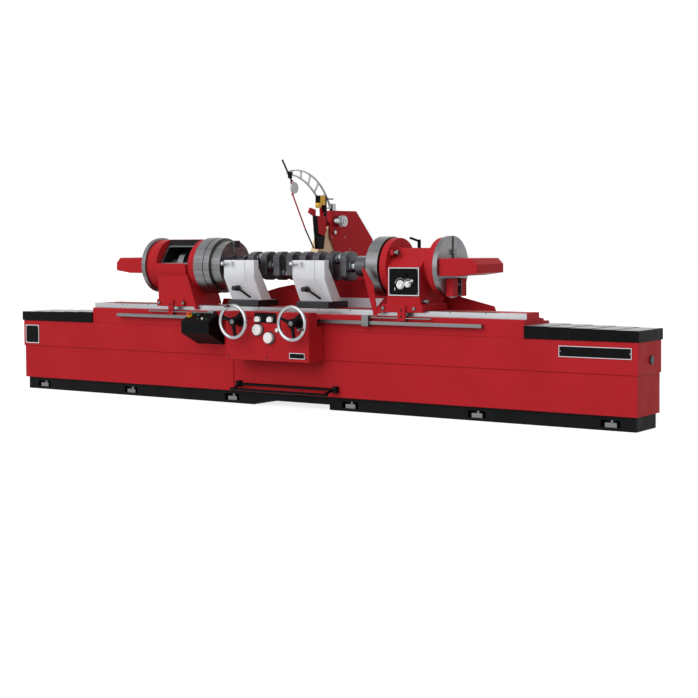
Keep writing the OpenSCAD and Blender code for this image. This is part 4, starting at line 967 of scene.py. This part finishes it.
def rear_doors(shape):
    """Two doors on the rear bed, and two on the bed at each side of it."""
    for x in (-200, 310):
        door(shape, x, 450, REAR_BED_BACK_Y, 200, 500)
    for x in (-2750, -1850, 1250, 2150):
        door(shape, x, 620, BED_BACK_Y, 440, 580)


made_piece("wheelhead_vents", wheelhead_back, ["red_paint", "dark_steel"],
           body_of("wheelhead_casting"), 0.8, 1)
made_piece("rear_doors", rear_doors, ["red_paint", "dark_steel"], body_of("rear_bed"), 1, 1)


# Light: strength of the world where it lights a surface, and grey and glow of the floor
WORLD_LIGHT, FLOOR_GREY, FLOOR_GLOW = 0.7, 0.4, 0.8


def seen_rays(tree):
    """One for rays that show a thing, to the camera or in a gloss, and nought for lighting rays."""
    path = tree.nodes.new("ShaderNodeLightPath")
    gloss = tree.nodes.new("ShaderNodeMath")
    seen = tree.nodes.new("ShaderNodeMath")
    gloss.operation = seen.operation = "MAXIMUM"
    tree.links.new(path.outputs["Is Glossy Ray"], gloss.inputs[0])
    tree.links.new(path.outputs["Is Transmission Ray"], gloss.inputs[1])
    tree.links.new(path.outputs["Is Camera Ray"], seen.inputs[0])
    tree.links.new(gloss.outputs[0], seen.inputs[1])
    return seen.outputs[0]


def lit_world():
    """White where it is seen, and a little weaker as a light."""
    world = bpy.data.worlds.new("studio")
    bpy.context.scene.world = world
    world.use_nodes = True
    tree = world.node_tree
    sky = tree.nodes["Background"]
    sky.inputs["Color"].default_value = (1, 1, 1, 1)
    level = tree.nodes.new("ShaderNodeMapRange")
    level.inputs["To Min"].default_value = WORLD_LIGHT
    level.inputs["To Max"].default_value = 1.0
    tree.links.new(seen_rays(tree), level.inputs["Value"])
    tree.links.new(level.outputs["Result"], sky.inputs["Strength"])


def lit_floor():
    """White where it is seen, and grey where it sends light back to the machine."""
    shape = bmesh.new()
    bmesh.ops.create_grid(shape, x_segments=4, y_segments=4, size=60)
    mesh = bpy.data.meshes.new("floor")
    shape.to_mesh(mesh)
    shape.free()
    floor = bpy.data.objects.new("floor", mesh)
    bpy.context.scene.collection.objects.link(floor)
    made = Nodes("floor_white")
    grey = made.shader
    grey.inputs["Base Color"].default_value = (FLOOR_GREY, FLOOR_GREY, FLOOR_GREY, 1)
    grey.inputs["Roughness"].default_value = 1
    grey.inputs["Specular IOR Level"].default_value = 0
    glow = made.add("ShaderNodeEmission", Strength=FLOOR_GLOW)
    glow.inputs["Color"].default_value = (1, 1, 1, 1)
    joined = made.add("ShaderNodeAddShader")
    made.link(grey.outputs[0], joined.inputs[0])
    made.link(glow.outputs[0], joined.inputs[1])
    choice = made.add("ShaderNodeMixShader")
    made.link(seen_rays(made.tree), choice.inputs[0])
    made.link(grey.outputs[0], choice.inputs[1])
    made.link(joined.outputs[0], choice.inputs[2])
    made.link(choice.outputs[0], made.tree.nodes["Material Output"].inputs["Surface"])
    mesh.materials.append(made.material)


def lamp(name, toward, strength, spread):
    """A sun that shines along a direction, with its spread in degrees."""
    data = bpy.data.lights.new(name, "SUN")
    data.energy = strength
    data.angle = math.radians(spread)
    item = bpy.data.objects.new(name, data)
    bpy.context.scene.collection.objects.link(item)
    item.rotation_mode = "QUATERNION"
    item.rotation_quaternion = Vector(toward).to_track_quat("-Z", "Y")


lit_world()
lit_floor()
lamp("key", (0.10, 0.88, -0.46), 1.7, 60)
bpy.context.scene.view_settings.view_transform = "Standard"
